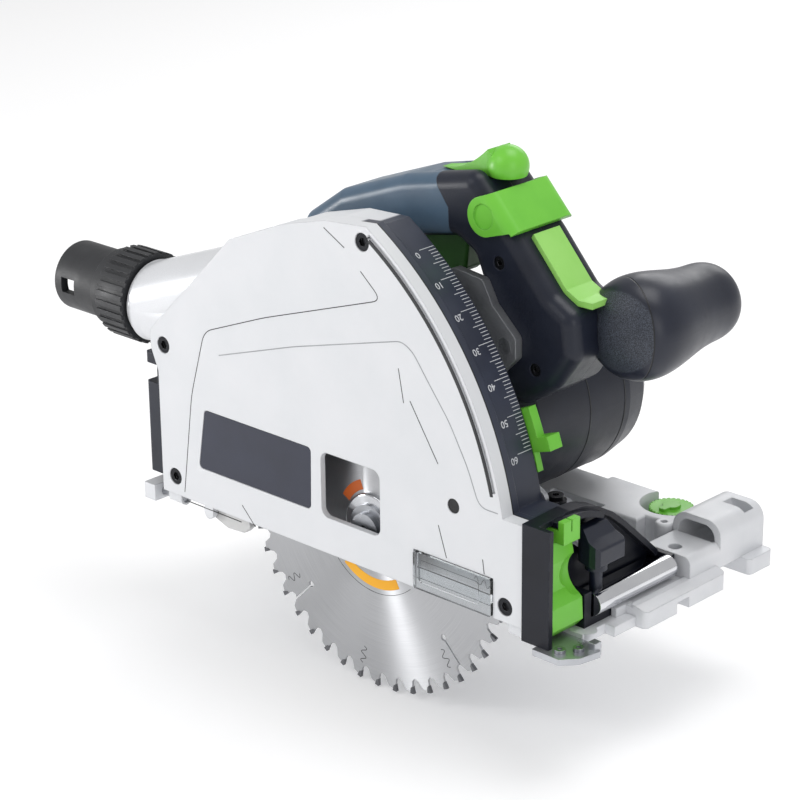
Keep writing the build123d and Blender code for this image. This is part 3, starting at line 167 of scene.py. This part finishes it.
def make_stage():
    """Near-white floor disc and a bright, even studio."""
    lowest = cad_box[0].z
    bm = bmesh.new()
    bmesh.ops.create_circle(bm, cap_ends=True, radius=8.0, segments=96)
    mesh = bpy.data.meshes.new("floor")
    bm.to_mesh(mesh)
    bm.free()
    floor = bpy.data.objects.new("floor", mesh)
    floor.location = (0, 0, lowest - 0.0004)
    bpy.context.scene.collection.objects.link(floor)
    m = bpy.data.materials.new("floor")
    m.use_nodes = True
    surface = m.node_tree.nodes["Principled BSDF"]
    surface.inputs["Base Color"].default_value = (0.93, 0.93, 0.935, 1)
    surface.inputs["Roughness"].default_value = 0.75
    surface.inputs["Specular IOR Level"].default_value = 0.2
    surface.inputs["Emission Color"].default_value = (1, 1, 1, 1)
    surface.inputs["Emission Strength"].default_value = 0.15
    mesh.materials.append(m)
    world = bpy.data.worlds.new("studio")
    world.use_nodes = True
    sky = world.node_tree.nodes["Background"]
    sky.inputs["Color"].default_value = (1, 1, 1, 1)
    sky.inputs["Strength"].default_value = 0.58
    bpy.context.scene.world = world
    area_light("key", (-0.55, -1.35, 1.25), (0, 0, 0.08), (0.9, 0.7), 4.5)
    area_light("top", (0.25, 0.25, 1.5), (0, 0, 0.05), (0.9, 0.9), 8)
    area_light("front", (1.35, -0.55, 0.55), (0.05, 0, 0.07), (0.5, 0.9), 2.5)
    area_light("glint", (-1.25, -0.93, 0.17), (0, -0.06, 0), (0.07, 0.4), 7)
    area_light("rear", (-0.6, 1.5, 0.9), (0, 0, 0.08), (1.0, 0.7), 5)
    view = bpy.context.scene.view_settings
    view.view_transform = "Standard"
    view.look = "None"


# ---------------------------------------------------------------- material building
class Paint:
    """One Principled material and short ways to wire its nodes."""

    def __init__(self, name):
        self.material = bpy.data.materials.new(name)
        self.material.use_nodes = True
        self.tree = self.material.node_tree
        self.surface = self.tree.nodes["Principled BSDF"]
        self.place = self.node("ShaderNodeTexCoord").outputs["Object"]

    def node(self, kind, **values):
        made = self.tree.nodes.new(kind)
        for key, value in values.items():
            setattr(made, key, value)
        return made

    def wire(self, source, target):
        self.tree.links.new(source, target)

    def noise(self, scale, detail=3.0, rough=0.55, at=None):
        made = self.node("ShaderNodeTexNoise")
        made.inputs["Scale"].default_value = scale
        made.inputs["Detail"].default_value = detail
        made.inputs["Roughness"].default_value = rough
        self.wire(at or self.place, made.inputs["Vector"])
        return made.outputs["Fac"]

    def axes(self):
        """The X, Y and Z outputs of the object's own coordinates."""
        made = self.node("ShaderNodeSeparateXYZ")
        self.wire(self.place, made.inputs[0])
        return made.outputs

    def spread(self, value, low, high, to_low, to_high):
        made = self.node("ShaderNodeMapRange")
        names = ("From Min", "From Max", "To Min", "To Max")
        for key, number in zip(names, (low, high, to_low, to_high)):
            made.inputs[key].default_value = number
        self.wire(value, made.inputs["Value"])
        return made.outputs["Result"]

    def math(self, kind, a, b=None, c=None):
        made = self.node("ShaderNodeMath", operation=kind)
        for socket, value in zip(made.inputs, (a, b, c)):
            if value is None:
                continue
            if isinstance(value, (int, float)):
                socket.default_value = value
            else:
                self.wire(value, socket)
        return made.outputs[0]

    def mix(self, share, a, b):
        made = self.node("ShaderNodeMix", data_type="RGBA")
        for key, value in (("A", a), ("B", b)):
            socket = next(s for s in made.inputs if s.name == key and s.type == "RGBA")
            if isinstance(value, tuple):
                socket.default_value = value
            else:
                self.wire(value, socket)
        self.wire(share, made.inputs["Factor"])
        return next(s for s in made.outputs if s.type == "RGBA")

    def polar(self, x, z):
        """Offsets, distance and turn in radians about an axis along Y through (x, z) in metres."""
        axes = self.axes()
        dx = self.math("SUBTRACT", axes["X"], x)
        dz = self.math("SUBTRACT", axes["Z"], z)
        squares = self.math("ADD", self.math("MULTIPLY", dx, dx), self.math("MULTIPLY", dz, dz))
        return dx, dz, self.math("SQRT", squares), self.math("ARCTAN2", dz, dx)

    def edges(self, radius):
        """Bevelled normal and a mask that is 1 on sharp edges."""
        bevel = self.node("ShaderNodeBevel", samples=4)
        bevel.inputs["Radius"].default_value = radius
        flat = self.node("ShaderNodeNewGeometry").outputs["Normal"]
        dot = self.node("ShaderNodeVectorMath", operation="DOT_PRODUCT")
        self.wire(bevel.outputs["Normal"], dot.inputs[0])
        self.wire(flat, dot.inputs[1])
        mask = self.spread(dot.outputs["Value"], 0.995, 0.85, 0.0, 1.0)
        return bevel.outputs["Normal"], mask

    def bump(self, height, strength, depth, normal=None):
        made = self.node("ShaderNodeBump")
        made.inputs["Strength"].default_value = strength
        made.inputs["Distance"].default_value = depth
        self.wire(height, made.inputs["Height"])
        if normal is not None:
            self.wire(normal, made.inputs["Normal"])
        return made.outputs["Normal"]

    def set(self, **values):
        for key, value in values.items():
            self.surface.inputs[key.replace("_", " ")].default_value = value

    def finish(self, colour, rough, normal):
        if isinstance(colour, tuple):
            self.surface.inputs["Base Color"].default_value = colour
        else:
            self.wire(colour, self.surface.inputs["Base Color"])
        self.wire(rough, self.surface.inputs["Roughness"])
        if normal is not None:
            self.wire(normal, self.surface.inputs["Normal"])
        return self.material


def general(name, colour, second, rough, wear, grain, depth, edge=0.5, metal=0.0, wear_amount=0.5, **more):
    """Mottled colour, uneven gloss, fine grain, softened and rubbed edges."""
    p = Paint(name)
    normal, mask = p.edges(edge * MM)
    cloud = p.spread(p.noise(38, 4), 0.32, 0.68, 0.0, 1.0)
    base = p.mix(cloud, colour, second)
    rubbed = p.math("MULTIPLY", mask, p.spread(p.noise(420, 3), 0.40, 0.72, 0.0, wear_amount))
    tone = p.mix(rubbed, base, wear)
    gloss = p.spread(p.noise(95, 5, 0.6), 0.30, 0.70, rough[0], rough[1])
    fine = p.noise(grain, 2)
    p.set(Metallic=metal, **more)
    return p.finish(tone, gloss, p.bump(fine, 0.6, depth * MM, normal))


def flake_paint(name, colour, second):
    """Light pearl paint on a die casting: fine flakes, faint orange peel, clear coat."""
    p = Paint(name)
    normal, mask = p.edges(0.9 * MM)
    flakes = p.spread(p.noise(2600, 1), 0.35, 0.65, 0.0, 0.55)
    cloud = p.spread(p.noise(16, 3), 0.35, 0.65, 0.0, 0.5)
    base = p.mix(p.math("MAXIMUM", flakes, cloud), colour, second)
    rubbed = p.math("MULTIPLY", mask, p.spread(p.noise(300, 3), 0.52, 0.75, 0.0, 0.35))
    tone = p.mix(rubbed, base, srgb(150, 152, 155))
    gloss = p.spread(p.noise(60, 5, 0.6), 0.30, 0.70, 0.30, 0.42)
    peel = p.noise(520, 2)
    p.set(Metallic=0.25, Coat_Weight=0.35, Coat_Roughness=0.14)
    return p.finish(tone, gloss, p.bump(peel, 0.35, 0.02 * MM, normal))


def cast_paint(name, colour, second):
    """Light paint over a cast surface: slightly pebbled, greyer in patches."""
    p = Paint(name)
    normal, mask = p.edges(0.9 * MM)
    cloud = p.spread(p.noise(30, 5), 0.32, 0.70, 0.0, 1.0)
    base = p.mix(cloud, colour, second)
    rubbed = p.math("MULTIPLY", mask, p.spread(p.noise(260, 4), 0.46, 0.72, 0.0, 0.6))
    tone = p.mix(rubbed, base, srgb(158, 160, 164))
    gloss = p.spread(p.noise(80, 5, 0.6), 0.30, 0.70, 0.34, 0.50)
    pebble = p.math("ADD", p.noise(900, 3), p.math("MULTIPLY", p.noise(110, 2), 0.8))
    p.set(Metallic=0.15)
    return p.finish(tone, gloss, p.bump(pebble, 0.5, 0.05 * MM, normal))


def hood_coat(name):
    """Pearl paint like the panel's, with a dark satin band along the curved depth scale and a near-black
    line of painted shade along the band's edge next to the rim.
    """
    p = Paint(name)
    normal, mask = p.edges(0.7 * MM)
    _, _, reach, turn = p.polar(RIM_X * MM, RIM_Z * MM)
    top = math.radians(BAND_TOP)
    band = p.spread(turn, top, top + 0.003, 1.0, 0.0)
    band = p.math("MULTIPLY", band, p.spread(reach, BAND_INNER_R * MM, (BAND_INNER_R + 1) * MM, 0.0, 1.0))
    side = p.math("SUBTRACT", p.axes()["Y"], BAND_Y * MM)
    band = p.math("MULTIPLY", band, p.spread(side, 0.0, 0.2 * MM, 0.0, 1.0))
    # Mask for a near-black line of painted shade where the raised rim steps down to the band.
    seam = p.math("MULTIPLY", band, p.spread(side, 0.6 * MM, 0.9 * MM, 1.0, 0.0))
    cloud = p.spread(p.noise(30, 4), 0.32, 0.68, 0.0, 1.0)
    silver = p.mix(cloud, srgb(219, 220, 223), srgb(214, 216, 219))
    satin = p.mix(cloud, srgb(40, 44, 58), srgb(52, 57, 72))
    # The band's edge next to the rim takes the near-black painted shade.
    tone = p.mix(seam, p.mix(band, silver, satin), srgb(8, 9, 12))
    rubbed = p.math("MULTIPLY", mask, p.spread(p.noise(400, 3), 0.45, 0.75, 0.0, 0.3))
    tone = p.mix(rubbed, tone, srgb(130, 134, 142))
    gloss = p.spread(p.noise(80, 5, 0.6), 0.30, 0.70, 0.32, 0.42)
    return p.finish(tone, gloss, p.bump(p.noise(1400, 2), 0.5, 0.03 * MM, normal))


def turned_steel(name, colour, second, centre, rough=(0.33, 0.40), rings=5200):
    """Steel ground in circles about an axis along Y, with a radial tangent for its bright wedges."""
    p = Paint(name)
    normal, _ = p.edges(0.25 * MM)
    dx, dz, reach, turn = p.polar(*centre)
    circles = p.node("ShaderNodeCombineXYZ")
    p.wire(p.math("MULTIPLY", reach, rings), circles.inputs["X"])
    p.wire(p.math("MULTIPLY", turn, 2.2), circles.inputs["Y"])
    scratch = p.noise(1.0, 3, 0.6, circles.outputs[0])
    wedge = p.node("ShaderNodeCombineXYZ")
    p.wire(p.math("MULTIPLY", turn, 1.6), wedge.inputs["X"])
    p.wire(p.math("MULTIPLY", reach, 24), wedge.inputs["Y"])
    cloud = p.noise(1.0, 2, 0.5, wedge.outputs[0])
    tone = p.mix(p.spread(scratch, 0.3, 0.7, 0.0, 0.8), colour, second)
    tone = p.mix(p.spread(cloud, 0.3, 0.7, 0.0, 0.35), tone, second)
    gloss = p.spread(scratch, 0.3, 0.7, *rough)
    outward = p.node("ShaderNodeCombineXYZ")
    p.wire(dx, outward.inputs["X"])
    p.wire(dz, outward.inputs["Z"])
    radial = p.node("ShaderNodeVectorMath", operation="NORMALIZE")
    p.wire(outward.outputs[0], radial.inputs[0])
    p.wire(radial.outputs[0], p.surface.inputs["Tangent"])
    p.set(Metallic=1.0, Anisotropic=0.96)
    return p.finish(tone, gloss, p.bump(scratch, 0.25, 0.012 * MM, normal))


def stripes(name, colour, second, axis, pitch, metal=0.0, rough=(0.4, 0.55)):
    """Thin layers or windings stacked along one axis."""
    p = Paint(name)
    normal, _ = p.edges(0.3 * MM)
    wave = p.math("SINE", p.math("MULTIPLY", p.axes()[axis], 2 * math.pi / (pitch * MM)))
    band = p.spread(wave, -1.0, 1.0, 0.0, 1.0)
    uneven = p.math("MULTIPLY", band, p.spread(p.noise(300, 3), 0.3, 0.7, 0.6, 1.0))
    tone = p.mix(uneven, colour, second)
    gloss = p.spread(p.noise(160, 4), 0.3, 0.7, *rough)
    p.set(Metallic=metal)
    return p.finish(tone, gloss, p.bump(band, 0.8, 0.08 * MM, normal))


def clear_plastic(name):
    """Clear polycarbonate with uneven gloss and faint waves."""
    p = Paint(name)
    gloss = p.spread(p.noise(220, 5, 0.7), 0.35, 0.75, 0.03, 0.16)
    p.set(Transmission_Weight=1.0, IOR=1.49)
    tone = p.mix(p.noise(30, 3), srgb(246, 248, 249), srgb(234, 238, 240))
    return p.finish(tone, gloss, p.bump(p.noise(60, 2), 0.10, 0.03 * MM))


def grip_rubber(name):
    """Hard dark grip whose near end is set off by a slanted seam and carries a grained oval patch."""
    p = Paint(name)
    normal, mask = p.edges(0.5 * MM)
    axes = p.axes()
    lean = p.math("MULTIPLY", p.math("SUBTRACT", axes["X"], SEAM_X * MM), SEAM_SLOPE)
    beyond = p.math("SUBTRACT", lean, axes["Y"])
    seam = p.spread(p.math("ABSOLUTE", beyond), 0.18 * MM, 0.42 * MM, 1.0, 0.0)
    wide = p.math("DIVIDE", p.math("SUBTRACT", axes["X"], PATCH_X * MM), PATCH_HALF_WIDTH * MM)
    high = p.math("DIVIDE", p.math("SUBTRACT", axes["Z"], PATCH_Z * MM), PATCH_HALF_HEIGHT * MM)
    oval = p.math("ADD", p.math("MULTIPLY", wide, wide), p.math("MULTIPLY", high, high))
    inside = p.spread(oval, 0.94, 1.04, 1.0, 0.0)
    patch = p.math("MULTIPLY", inside, p.spread(beyond, 0.0, 0.3 * MM, 0.0, 1.0))
    cloud = p.spread(p.noise(34, 4), 0.3, 0.7, 0.0, 1.0)
    smooth = p.mix(cloud, srgb(21, 25, 39), srgb(28, 33, 49))
    speck = p.spread(p.noise(2300, 2), 0.40, 0.62, 0.0, 1.0)
    grained = p.mix(speck, srgb(26, 29, 38), srgb(70, 76, 88))
    tone = p.mix(patch, smooth, grained)
    tone = p.mix(p.math("MULTIPLY", mask, 0.3), tone, srgb(84, 92, 108))
    tone = p.mix(seam, tone, srgb(10, 11, 15))
    gloss = p.math("ADD", p.spread(p.noise(90, 4), 0.3, 0.7, 0.30, 0.40), p.math("MULTIPLY", patch, 0.12))
    pebble = p.math("MULTIPLY", p.noise(2300, 2), p.math("MULTIPLY_ADD", patch, 0.9, 0.15))
    height = p.math("SUBTRACT", pebble, p.math("MULTIPLY", seam, 1.6))
    return p.finish(tone, gloss, p.bump(height, 0.8, 0.10 * MM, normal))


def make_materials():
    """A finish for each of the record's material slots."""
    return {
        "cast_white": cast_paint("cast_white", srgb(222, 223, 226), srgb(208, 210, 214)),
        "hood_silver": flake_paint("hood_silver", srgb(222, 223, 226), srgb(206, 208, 212)),
        "scale_grey": hood_coat("scale_grey"),
        "label_dark": general("label_dark", srgb(28, 32, 50), srgb(35, 40, 59), (0.32, 0.42),
                              srgb(80, 88, 106), 1800, 0.02, edge=0.3),
        "glide_grey": general("glide_grey", srgb(86, 89, 94), srgb(102, 105, 110), (0.45, 0.6),
                              srgb(150, 152, 156), 700, 0.05),
        "bright_alloy": general("bright_alloy", srgb(196, 198, 202), srgb(176, 178, 183), (0.26, 0.42),
                                srgb(232, 233, 236), 900, 0.04, metal=0.85),
        "cast_alloy": general("cast_alloy", srgb(168, 170, 174), srgb(148, 150, 155), (0.38, 0.55),
                              srgb(205, 206, 210), 620, 0.08, metal=0.85),
        "screw_steel": general("screw_steel", srgb(176, 178, 182), srgb(150, 152, 157), (0.25, 0.42),
                               srgb(225, 226, 228), 1200, 0.03, edge=0.25, metal=1.0),
        "segment_black": general("segment_black", srgb(14, 16, 26), srgb(20, 23, 34), (0.30, 0.42),
                                 srgb(88, 94, 108), 1500, 0.05, edge=0.6, wear_amount=0.55,
                                 Specular_IOR_Level=0.3),
        "bright_chrome": general("bright_chrome", srgb(228, 229, 232), srgb(214, 215, 219), (0.04, 0.12),
                                 srgb(245, 245, 247), 300, 0.02, edge=0.5, metal=1.0),
        "control_green": general("control_green", srgb(116, 200, 62), srgb(105, 190, 54), (0.30, 0.42),
                                 srgb(168, 228, 120), 1500, 0.03, edge=0.6, wear_amount=0.6),
        "trim_green": general("trim_green", srgb(158, 218, 112), srgb(146, 210, 98), (0.36, 0.48),
                              srgb(190, 234, 152), 1500, 0.03, edge=0.6),
        "trigger_green": general("trigger_green", srgb(52, 108, 34), srgb(44, 96, 30), (0.36, 0.48),
                                 srgb(104, 160, 74), 1500, 0.03),
        "rubber_black": general("rubber_black", srgb(20, 20, 22), srgb(28, 28, 30), (0.55, 0.75),
                                srgb(60, 60, 62), 1300, 0.05),
        "screw_black": general("screw_black", srgb(34, 35, 38), srgb(48, 49, 52), (0.28, 0.42),
                               srgb(150, 152, 156), 1200, 0.03, edge=0.3, metal=0.9, wear_amount=0.8),
        "housing_dark": general("housing_dark", srgb(20, 24, 37), srgb(27, 32, 46), (0.32, 0.44),
                                srgb(78, 86, 104), 1700, 0.08, edge=0.7, wear_amount=0.45,
                                Specular_IOR_Level=0.38),
        "grip_dark": grip_rubber("grip_dark"),
        "inlet_black": general("inlet_black", srgb(32, 33, 36), srgb(46, 47, 50), (0.45, 0.62),
                               srgb(110, 111, 114), 900, 0.06, edge=0.5, wear_amount=0.7),
        "potting_black": general("potting_black", srgb(22, 23, 26), srgb(32, 33, 36), (0.25, 0.45),
                                 srgb(70, 71, 74), 240, 0.12),
        "cover_blue": general("cover_blue", srgb(66, 88, 108), srgb(76, 99, 120), (0.28, 0.38),
                              srgb(118, 136, 150), 1800, 0.03, edge=0.7, wear_amount=0.3),
        "spring_steel": general("spring_steel", srgb(128, 130, 134), srgb(104, 106, 110), (0.22, 0.38),
                                srgb(190, 191, 194), 800, 0.03, metal=1.0),
        "core_steel": stripes("core_steel", srgb(96, 98, 102), srgb(136, 138, 142), "Y", 0.5, 0.9),
        "coil_copper": stripes("coil_copper", srgb(150, 82, 44), srgb(206, 126, 74), "Y", 0.7, 0.9,
                               (0.22, 0.36)),
        "bearing_steel": turned_steel("bearing_steel", srgb(206, 207, 210), srgb(176, 178, 182),
                                      (0.0, SPINDLE_Z * MM), (0.12, 0.24), 3000),
        "gear_steel": general("gear_steel", srgb(150, 152, 156), srgb(122, 124, 129), (0.24, 0.38),
                              srgb(210, 211, 214), 900, 0.03, edge=0.25, metal=1.0),
        "blade_steel": turned_steel("blade_steel", srgb(196, 197, 199), srgb(176, 177, 180),
                                    (0.0, SPINDLE_Z * MM)),
        "carbide_grey": general("carbide_grey", srgb(120, 121, 124), srgb(98, 99, 103), (0.28, 0.42),
                                srgb(180, 181, 184), 1400, 0.03, edge=0.15, metal=0.9),
        "clear_guard": clear_plastic("clear_guard"),
        "sensor_white": general("sensor_white", srgb(205, 205, 204), srgb(192, 192, 192), (0.38, 0.5),
                                srgb(150, 150, 150), 1300, 0.03),
    }


def make_prints():
    """A finish for the ink of the scale, the thin lines, the grey painted shade along the hood's crease
    and the print on the blade.
    """
    return {
        "scale_ink": general("scale_ink", srgb(222, 224, 228), srgb(198, 200, 206), (0.45, 0.6),
                             srgb(222, 224, 228), 1800, 0.01),
        "dark_line": general("dark_line", srgb(30, 31, 34), srgb(42, 43, 46), (0.5, 0.65),
                             srgb(60, 60, 62), 1400, 0.01),
        # Grey for the line of painted shade along the crease of the hood's panel.
        "crease_shade_line": general("crease_shade_line", srgb(150, 152, 156), srgb(164, 166, 170), (0.4, 0.5),
                             srgb(180, 182, 186), 1400, 0.01),
        "yellow_print": general("yellow_print", srgb(246, 178, 6), srgb(240, 164, 8), (0.35, 0.5),
                                srgb(240, 200, 90), 1600, 0.01),
        "orange_print": general("orange_print", srgb(206, 98, 22), srgb(190, 86, 20), (0.35, 0.5),
                                srgb(220, 140, 70), 1600, 0.01),
    }


# ---------------------------------------------------------------- piece building
def add_piece(name, bm, material, body):
    """Turn a bmesh into a named piece that rides on a body."""
    bmesh.ops.remove_doubles(bm, verts=bm.verts, dist=1e-7)
    bmesh.ops.recalc_face_normals(bm, faces=bm.faces)
    mesh = bpy.data.meshes.new(name)
    bm.to_mesh(mesh)
    bm.free()
    mesh.materials.append(material)
    piece = bpy.data.objects.new(name, mesh)
    bpy.context.scene.collection.objects.link(piece)
    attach(piece, body)


def strip(bm, line, width, near, far, lift):
    """Closed ribbon along a line of (a, b) points; lift turns (a, b, depth) into a place."""
    count = len(line)
    rows = []
    for i, point in enumerate(line):
        before = Vector(line[max(i - 1, 0)])
        after = Vector(line[min(i + 1, count - 1)])
        along = (after - before).normalized()
        side = Vector((-along.y, along.x)) * width / 2
        here = Vector(point)
        corners = [(here + side, near), (here - side, near), (here - side, far), (here + side, far)]
        rows.append([bm.verts.new(lift(p.x, p.y, d)) for p, d in corners])
    for a, b in zip(rows, rows[1:]):
        for i in range(4):
            j = (i + 1) % 4
            bm.faces.new((a[i], a[j], b[j], b[i]))
    bm.faces.new(rows[0][::-1])
    bm.faces.new(rows[-1])


def rounded(line, radius, steps=6):
    """The same line with its inner corners rounded."""
    out = [line[0]]
    for before, here, after in zip(line, line[1:], line[2:]):
        a, b, c = Vector(before), Vector(here), Vector(after)
        cut = min(radius, (a - b).length * 0.45, (c - b).length * 0.45)
        start, end = b + (a - b).normalized() * cut, b + (c - b).normalized() * cut
        for i in range(steps + 1):
            t = i / steps
            q = start * (1 - t) ** 2 + b * 2 * t * (1 - t) + end * t ** 2
            out.append((q.x, q.y))
    out.append(line[-1])
    return out


def on_side(x, z, y):
    """Millimetres on a plane of constant Y to metres."""
    return (x * MM, y * MM, z * MM)


def hood_lines(materials):
    """Thin seams that divide the side panel of the hood, and a grey line of painted shade along its
    crease.
    """
    seams = [
        [(5, 155), (18, 144), (-59, 118), (-102, 101), (-113, 65), (-121, 11)],
        [(-18, 171), (-5, 164)],
        [(28, 114), (31, 98)],
        [(35, 100), (52, 74)],
        [(-79, 16), (-70, 7)],
        [(79, 35), (80, 28)],
        [(52, 44), (57, 29)],
        [(-120, 6.6), (-80, 6.6)],
    ]
    bm = bmesh.new()
    for line in seams:
        strip(bm, rounded(line, 6.0), 0.42, PANEL_NEAR, PANEL_FAR, on_side)
    add_piece("hood_seams", bm, materials["dark_line"], "hood")
    # Soft grey line of painted shade along the crease of the panel.
    crease = [
        (-92, 91), (-40, 108), (30, 127.5), (37, 124), (47, 111),
        (59, 96), (70, 77), (77, 60), (88, 60),
    ]
    bm = bmesh.new()
    strip(bm, rounded(crease, 5.0), 0.5, PANEL_NEAR, PANEL_FAR, on_side)
    add_piece("hood_crease_shade", bm, materials["crease_shade_line"], "hood")


def rim_place(side, turn, out):
    """A place on the curved scale: side in mm along -Y, turn in degrees, out in mm from the rim."""
    t = math.radians(turn)
    r = RIM_R + out
    return ((RIM_X + r * math.cos(t)) * MM, side * MM, (RIM_Z + r * math.sin(t)) * MM)


def rim_turn(depth):
    """Where a depth lies on the curved scale."""
    return ZERO_TURN - TURN_PER_DEPTH * depth


def tick_length(depth):
    """Longest at tens, longer at fives."""
    if depth % 10 == 0:
        return 9.4
    return 7.2 if depth % 5 == 0 else 4.6


def scale_marks(materials):
    """Depth scale: a line each millimetre, longer at fives and tens, numbered at tens."""
    bm = bmesh.new()
    wide = math.degrees(TICK_HALF_WIDTH / RIM_R)
    for depth in range(61):
        turn = rim_turn(depth)
        end = TICK_Y - tick_length(depth)
        corners = []
        for out in (-TICK_HALF_HEIGHT, TICK_HALF_HEIGHT):
            for side, t in ((TICK_Y, -wide), (TICK_Y, wide), (end, wide), (end, -wide)):
                corners.append(bm.verts.new(rim_place(side, turn + t, out)))
        for face in ((3, 2, 1, 0), (4, 5, 6, 7), (0, 1, 5, 4), (1, 2, 6, 5), (2, 3, 7, 6), (3, 0, 4, 7)):
            bm.faces.new([corners[i] for i in face])
    for depth in range(0, 61, 10):
        t = math.radians(rim_turn(depth))
        curve = bpy.data.curves.new("digits", "FONT")
        curve.body = str(depth)
        curve.size = DIGIT_SIZE
        curve.align_x = "CENTER"
        curve.align_y = "CENTER"
        curve.extrude = 0.05
        curve.offset = 0.04
        text = bpy.data.objects.new("digits", curve)
        glyphs = bpy.data.meshes.new_from_object(text)
        across = Vector((0, -1, 0))
        outward = Vector((math.cos(t), 0, math.sin(t)))
        turn = Matrix((across, outward.cross(across), outward)).transposed().to_4x4()
        centre = rim_place(DIGIT_Y, rim_turn(depth) - DIGIT_DROP, 0.02)
        place = Matrix.Translation(Vector(centre))
        glyphs.transform(place @ turn @ Matrix.Scale(MM, 4))
        bm.from_mesh(glyphs)
        bpy.data.objects.remove(text)
        bpy.data.curves.remove(curve)
        bpy.data.meshes.remove(glyphs)
    add_piece("scale_marks", bm, materials["scale_ink"], "hood")


def arc_points(radius, start, stop, steps, cx=0.0, cz=SPINDLE_Z):
    """Points along an arc, about the blade's axis unless another centre is given."""
    out = []
    for i in range(steps + 1):
        t = math.radians(start + (stop - start) * i / steps)
        out.append((cx + radius * math.cos(t), cz + radius * math.sin(t)))
    return out


def blade_print(materials):
    """Plain printed arcs, and thin dark lines for the expansion slots of the blade."""
    bm = bmesh.new()
    strip(bm, arc_points(29.4, -130, -60, 24), 5.0, PRINT_NEAR, PRINT_FAR, on_side)
    add_piece("blade_arcs", bm, materials["yellow_print"], "blade")
    bm = bmesh.new()
    strip(bm, arc_points(21.0, 112, 152, 16), 5.0, PRINT_NEAR, PRINT_FAR, on_side)
    add_piece("blade_arc_inner", bm, materials["orange_print"], "blade")
    bm = bmesh.new()
    strip(bm, arc_points(34.4, -150, -48, 30), 0.25, PRINT_NEAR, PRINT_FAR, on_side)
    for turn in SLOT_TURNS:
        t = math.radians(turn)
        out, side = Vector((math.cos(t), math.sin(t))), Vector((-math.sin(t), math.cos(t)))
        path = []
        for i in range(SLOT_STEPS + 1):
            reach = SLOT_START + SLOT_LENGTH * i / SLOT_STEPS
            sway = SLOT_SWAY * math.sin(i / SLOT_STEPS * 4 * math.pi)
            q = out * reach + side * sway
            path.append((q.x, q.y + SPINDLE_Z))
        strip(bm, path, 0.35, PRINT_NEAR, PRINT_FAR, on_side)
    add_piece("blade_slots", bm, materials["dark_line"], "blade")


def rim_groove(materials):
    """Dark shadow groove between the side panel and the bright rim."""
    bm = bmesh.new()
    groove = arc_points(GROOVE_R, 14.0, 57.0, 60, RIM_X, RIM_Z)
    strip(bm, groove, 1.9, PANEL_NEAR, PANEL_FAR, on_side)
    add_piece("rim_groove", bm, materials["dark_line"], "hood")


def duct_height(x, z):
    """How far the duct stands out at a place on the far wall of the hood, as a Y value in mm."""
    round_part = PIPE_R ** 2 - (z - PIPE_Z) ** 2
    pipe = PIPE_Y + math.sqrt(round_part) if round_part > 0 else WALL_Y
    from_edge = min(ACROSS_DUCT * z - DUCT_LOW_OFFSET, (DUCT_HIGH_Z - z) * ACROSS_DUCT)
    inset = min(max(from_edge, 0.0), DUCT_CORNER)
    square = DUCT_Y - DUCT_CORNER + math.sqrt(DUCT_CORNER ** 2 - (DUCT_CORNER - inset) ** 2)
    fade = min(max((x - fade_start(z)) / FADE_LENGTH, 0.0), 1.0)
    sink = DUCT_SINK * fade * fade * (3 - 2 * fade)
    return max(max(pipe, square) - sink, WALL_Y)


def fade_start(z):
    """Where the duct begins to sink into the wall; later higher up."""
    return FADE_X + (z - FADE_Z) * FADE_SLOPE


def duct_fairing(materials):
    """Swelling that carries the duct past the rear of the hood and fades into its far wall."""
    bm = bmesh.new()
    across, up = 30, 44
    grid = []
    for j in range(up + 1):
        z = FAIRING_LOW_Z + FAIRING_RISE * j / up
        start = max(REAR_EDGE_X + (z - REAR_EDGE_Z) * REAR_EDGE_SLOPE, REAR_LIMIT_X)
        row = []
        for i in range(across + 1):
            x = start + (fade_start(z) + FADE_LENGTH - start) * i / across
            outer = bm.verts.new(on_side(x, z, duct_height(x, z)))
            inner = bm.verts.new(on_side(x, z, WALL_Y - FAIRING_BACK))
            row.append((outer, inner))
        grid.append(row)
    for j in range(up):
        for i in range(across):
            a, b, c, d = grid[j][i], grid[j][i + 1], grid[j + 1][i + 1], grid[j + 1][i]
            bm.faces.new((a[0], b[0], c[0], d[0]))
            bm.faces.new((d[1], c[1], b[1], a[1]))
    rim = [grid[0][i] for i in range(across)] + [grid[j][across] for j in range(up)]
    rim += [grid[up][i] for i in range(across, 0, -1)] + [grid[j][0] for j in range(up, 0, -1)]
    for a, b in zip(rim, rim[1:] + rim[:1]):
        bm.faces.new((a[0], a[1], b[1], b[0]))
    for face in bm.faces:
        face.smooth = True
    add_piece("duct_fairing", bm, materials["hood_silver"], "hood")


def motor_rings(materials):
    """Joint lines round the barrel of the motor housing and its cap."""
    bm = bmesh.new()
    low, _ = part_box("motor_cap")
    seam = low.y / MM
    for y in (seam - RING_SPACING, seam):
        ring = arc_points(MOTOR_RADIUS, 0.0, 359.6, 120, MOTOR_X, MOTOR_Z)
        strip(bm, ring, 0.5, y - RING_HALF_WIDTH, y + RING_HALF_WIDTH, on_side)
    add_piece("motor_rings", bm, materials["dark_line"], "head")


def dress_frame(materials):
    """Give each CAD node its finish; the cover takes the coat with the dark scale band."""
    for row in frame["record"]["subparts"]:
        node = frame["nodes"][row["node"]]
        wanted = materials["scale_grey" if row["node"] == "hood_cover" else row["material_slot"]]
        if not node.data.materials:
            node.data.materials.append(wanted)
        for place in node.material_slots:
            place.material = wanted


make_camera()
make_stage()
materials = make_materials()
materials.update(make_prints())
dress_frame(materials)
hood_lines(materials)
rim_groove(materials)
scale_marks(materials)
blade_print(materials)
motor_rings(materials)
duct_fairing(materials)
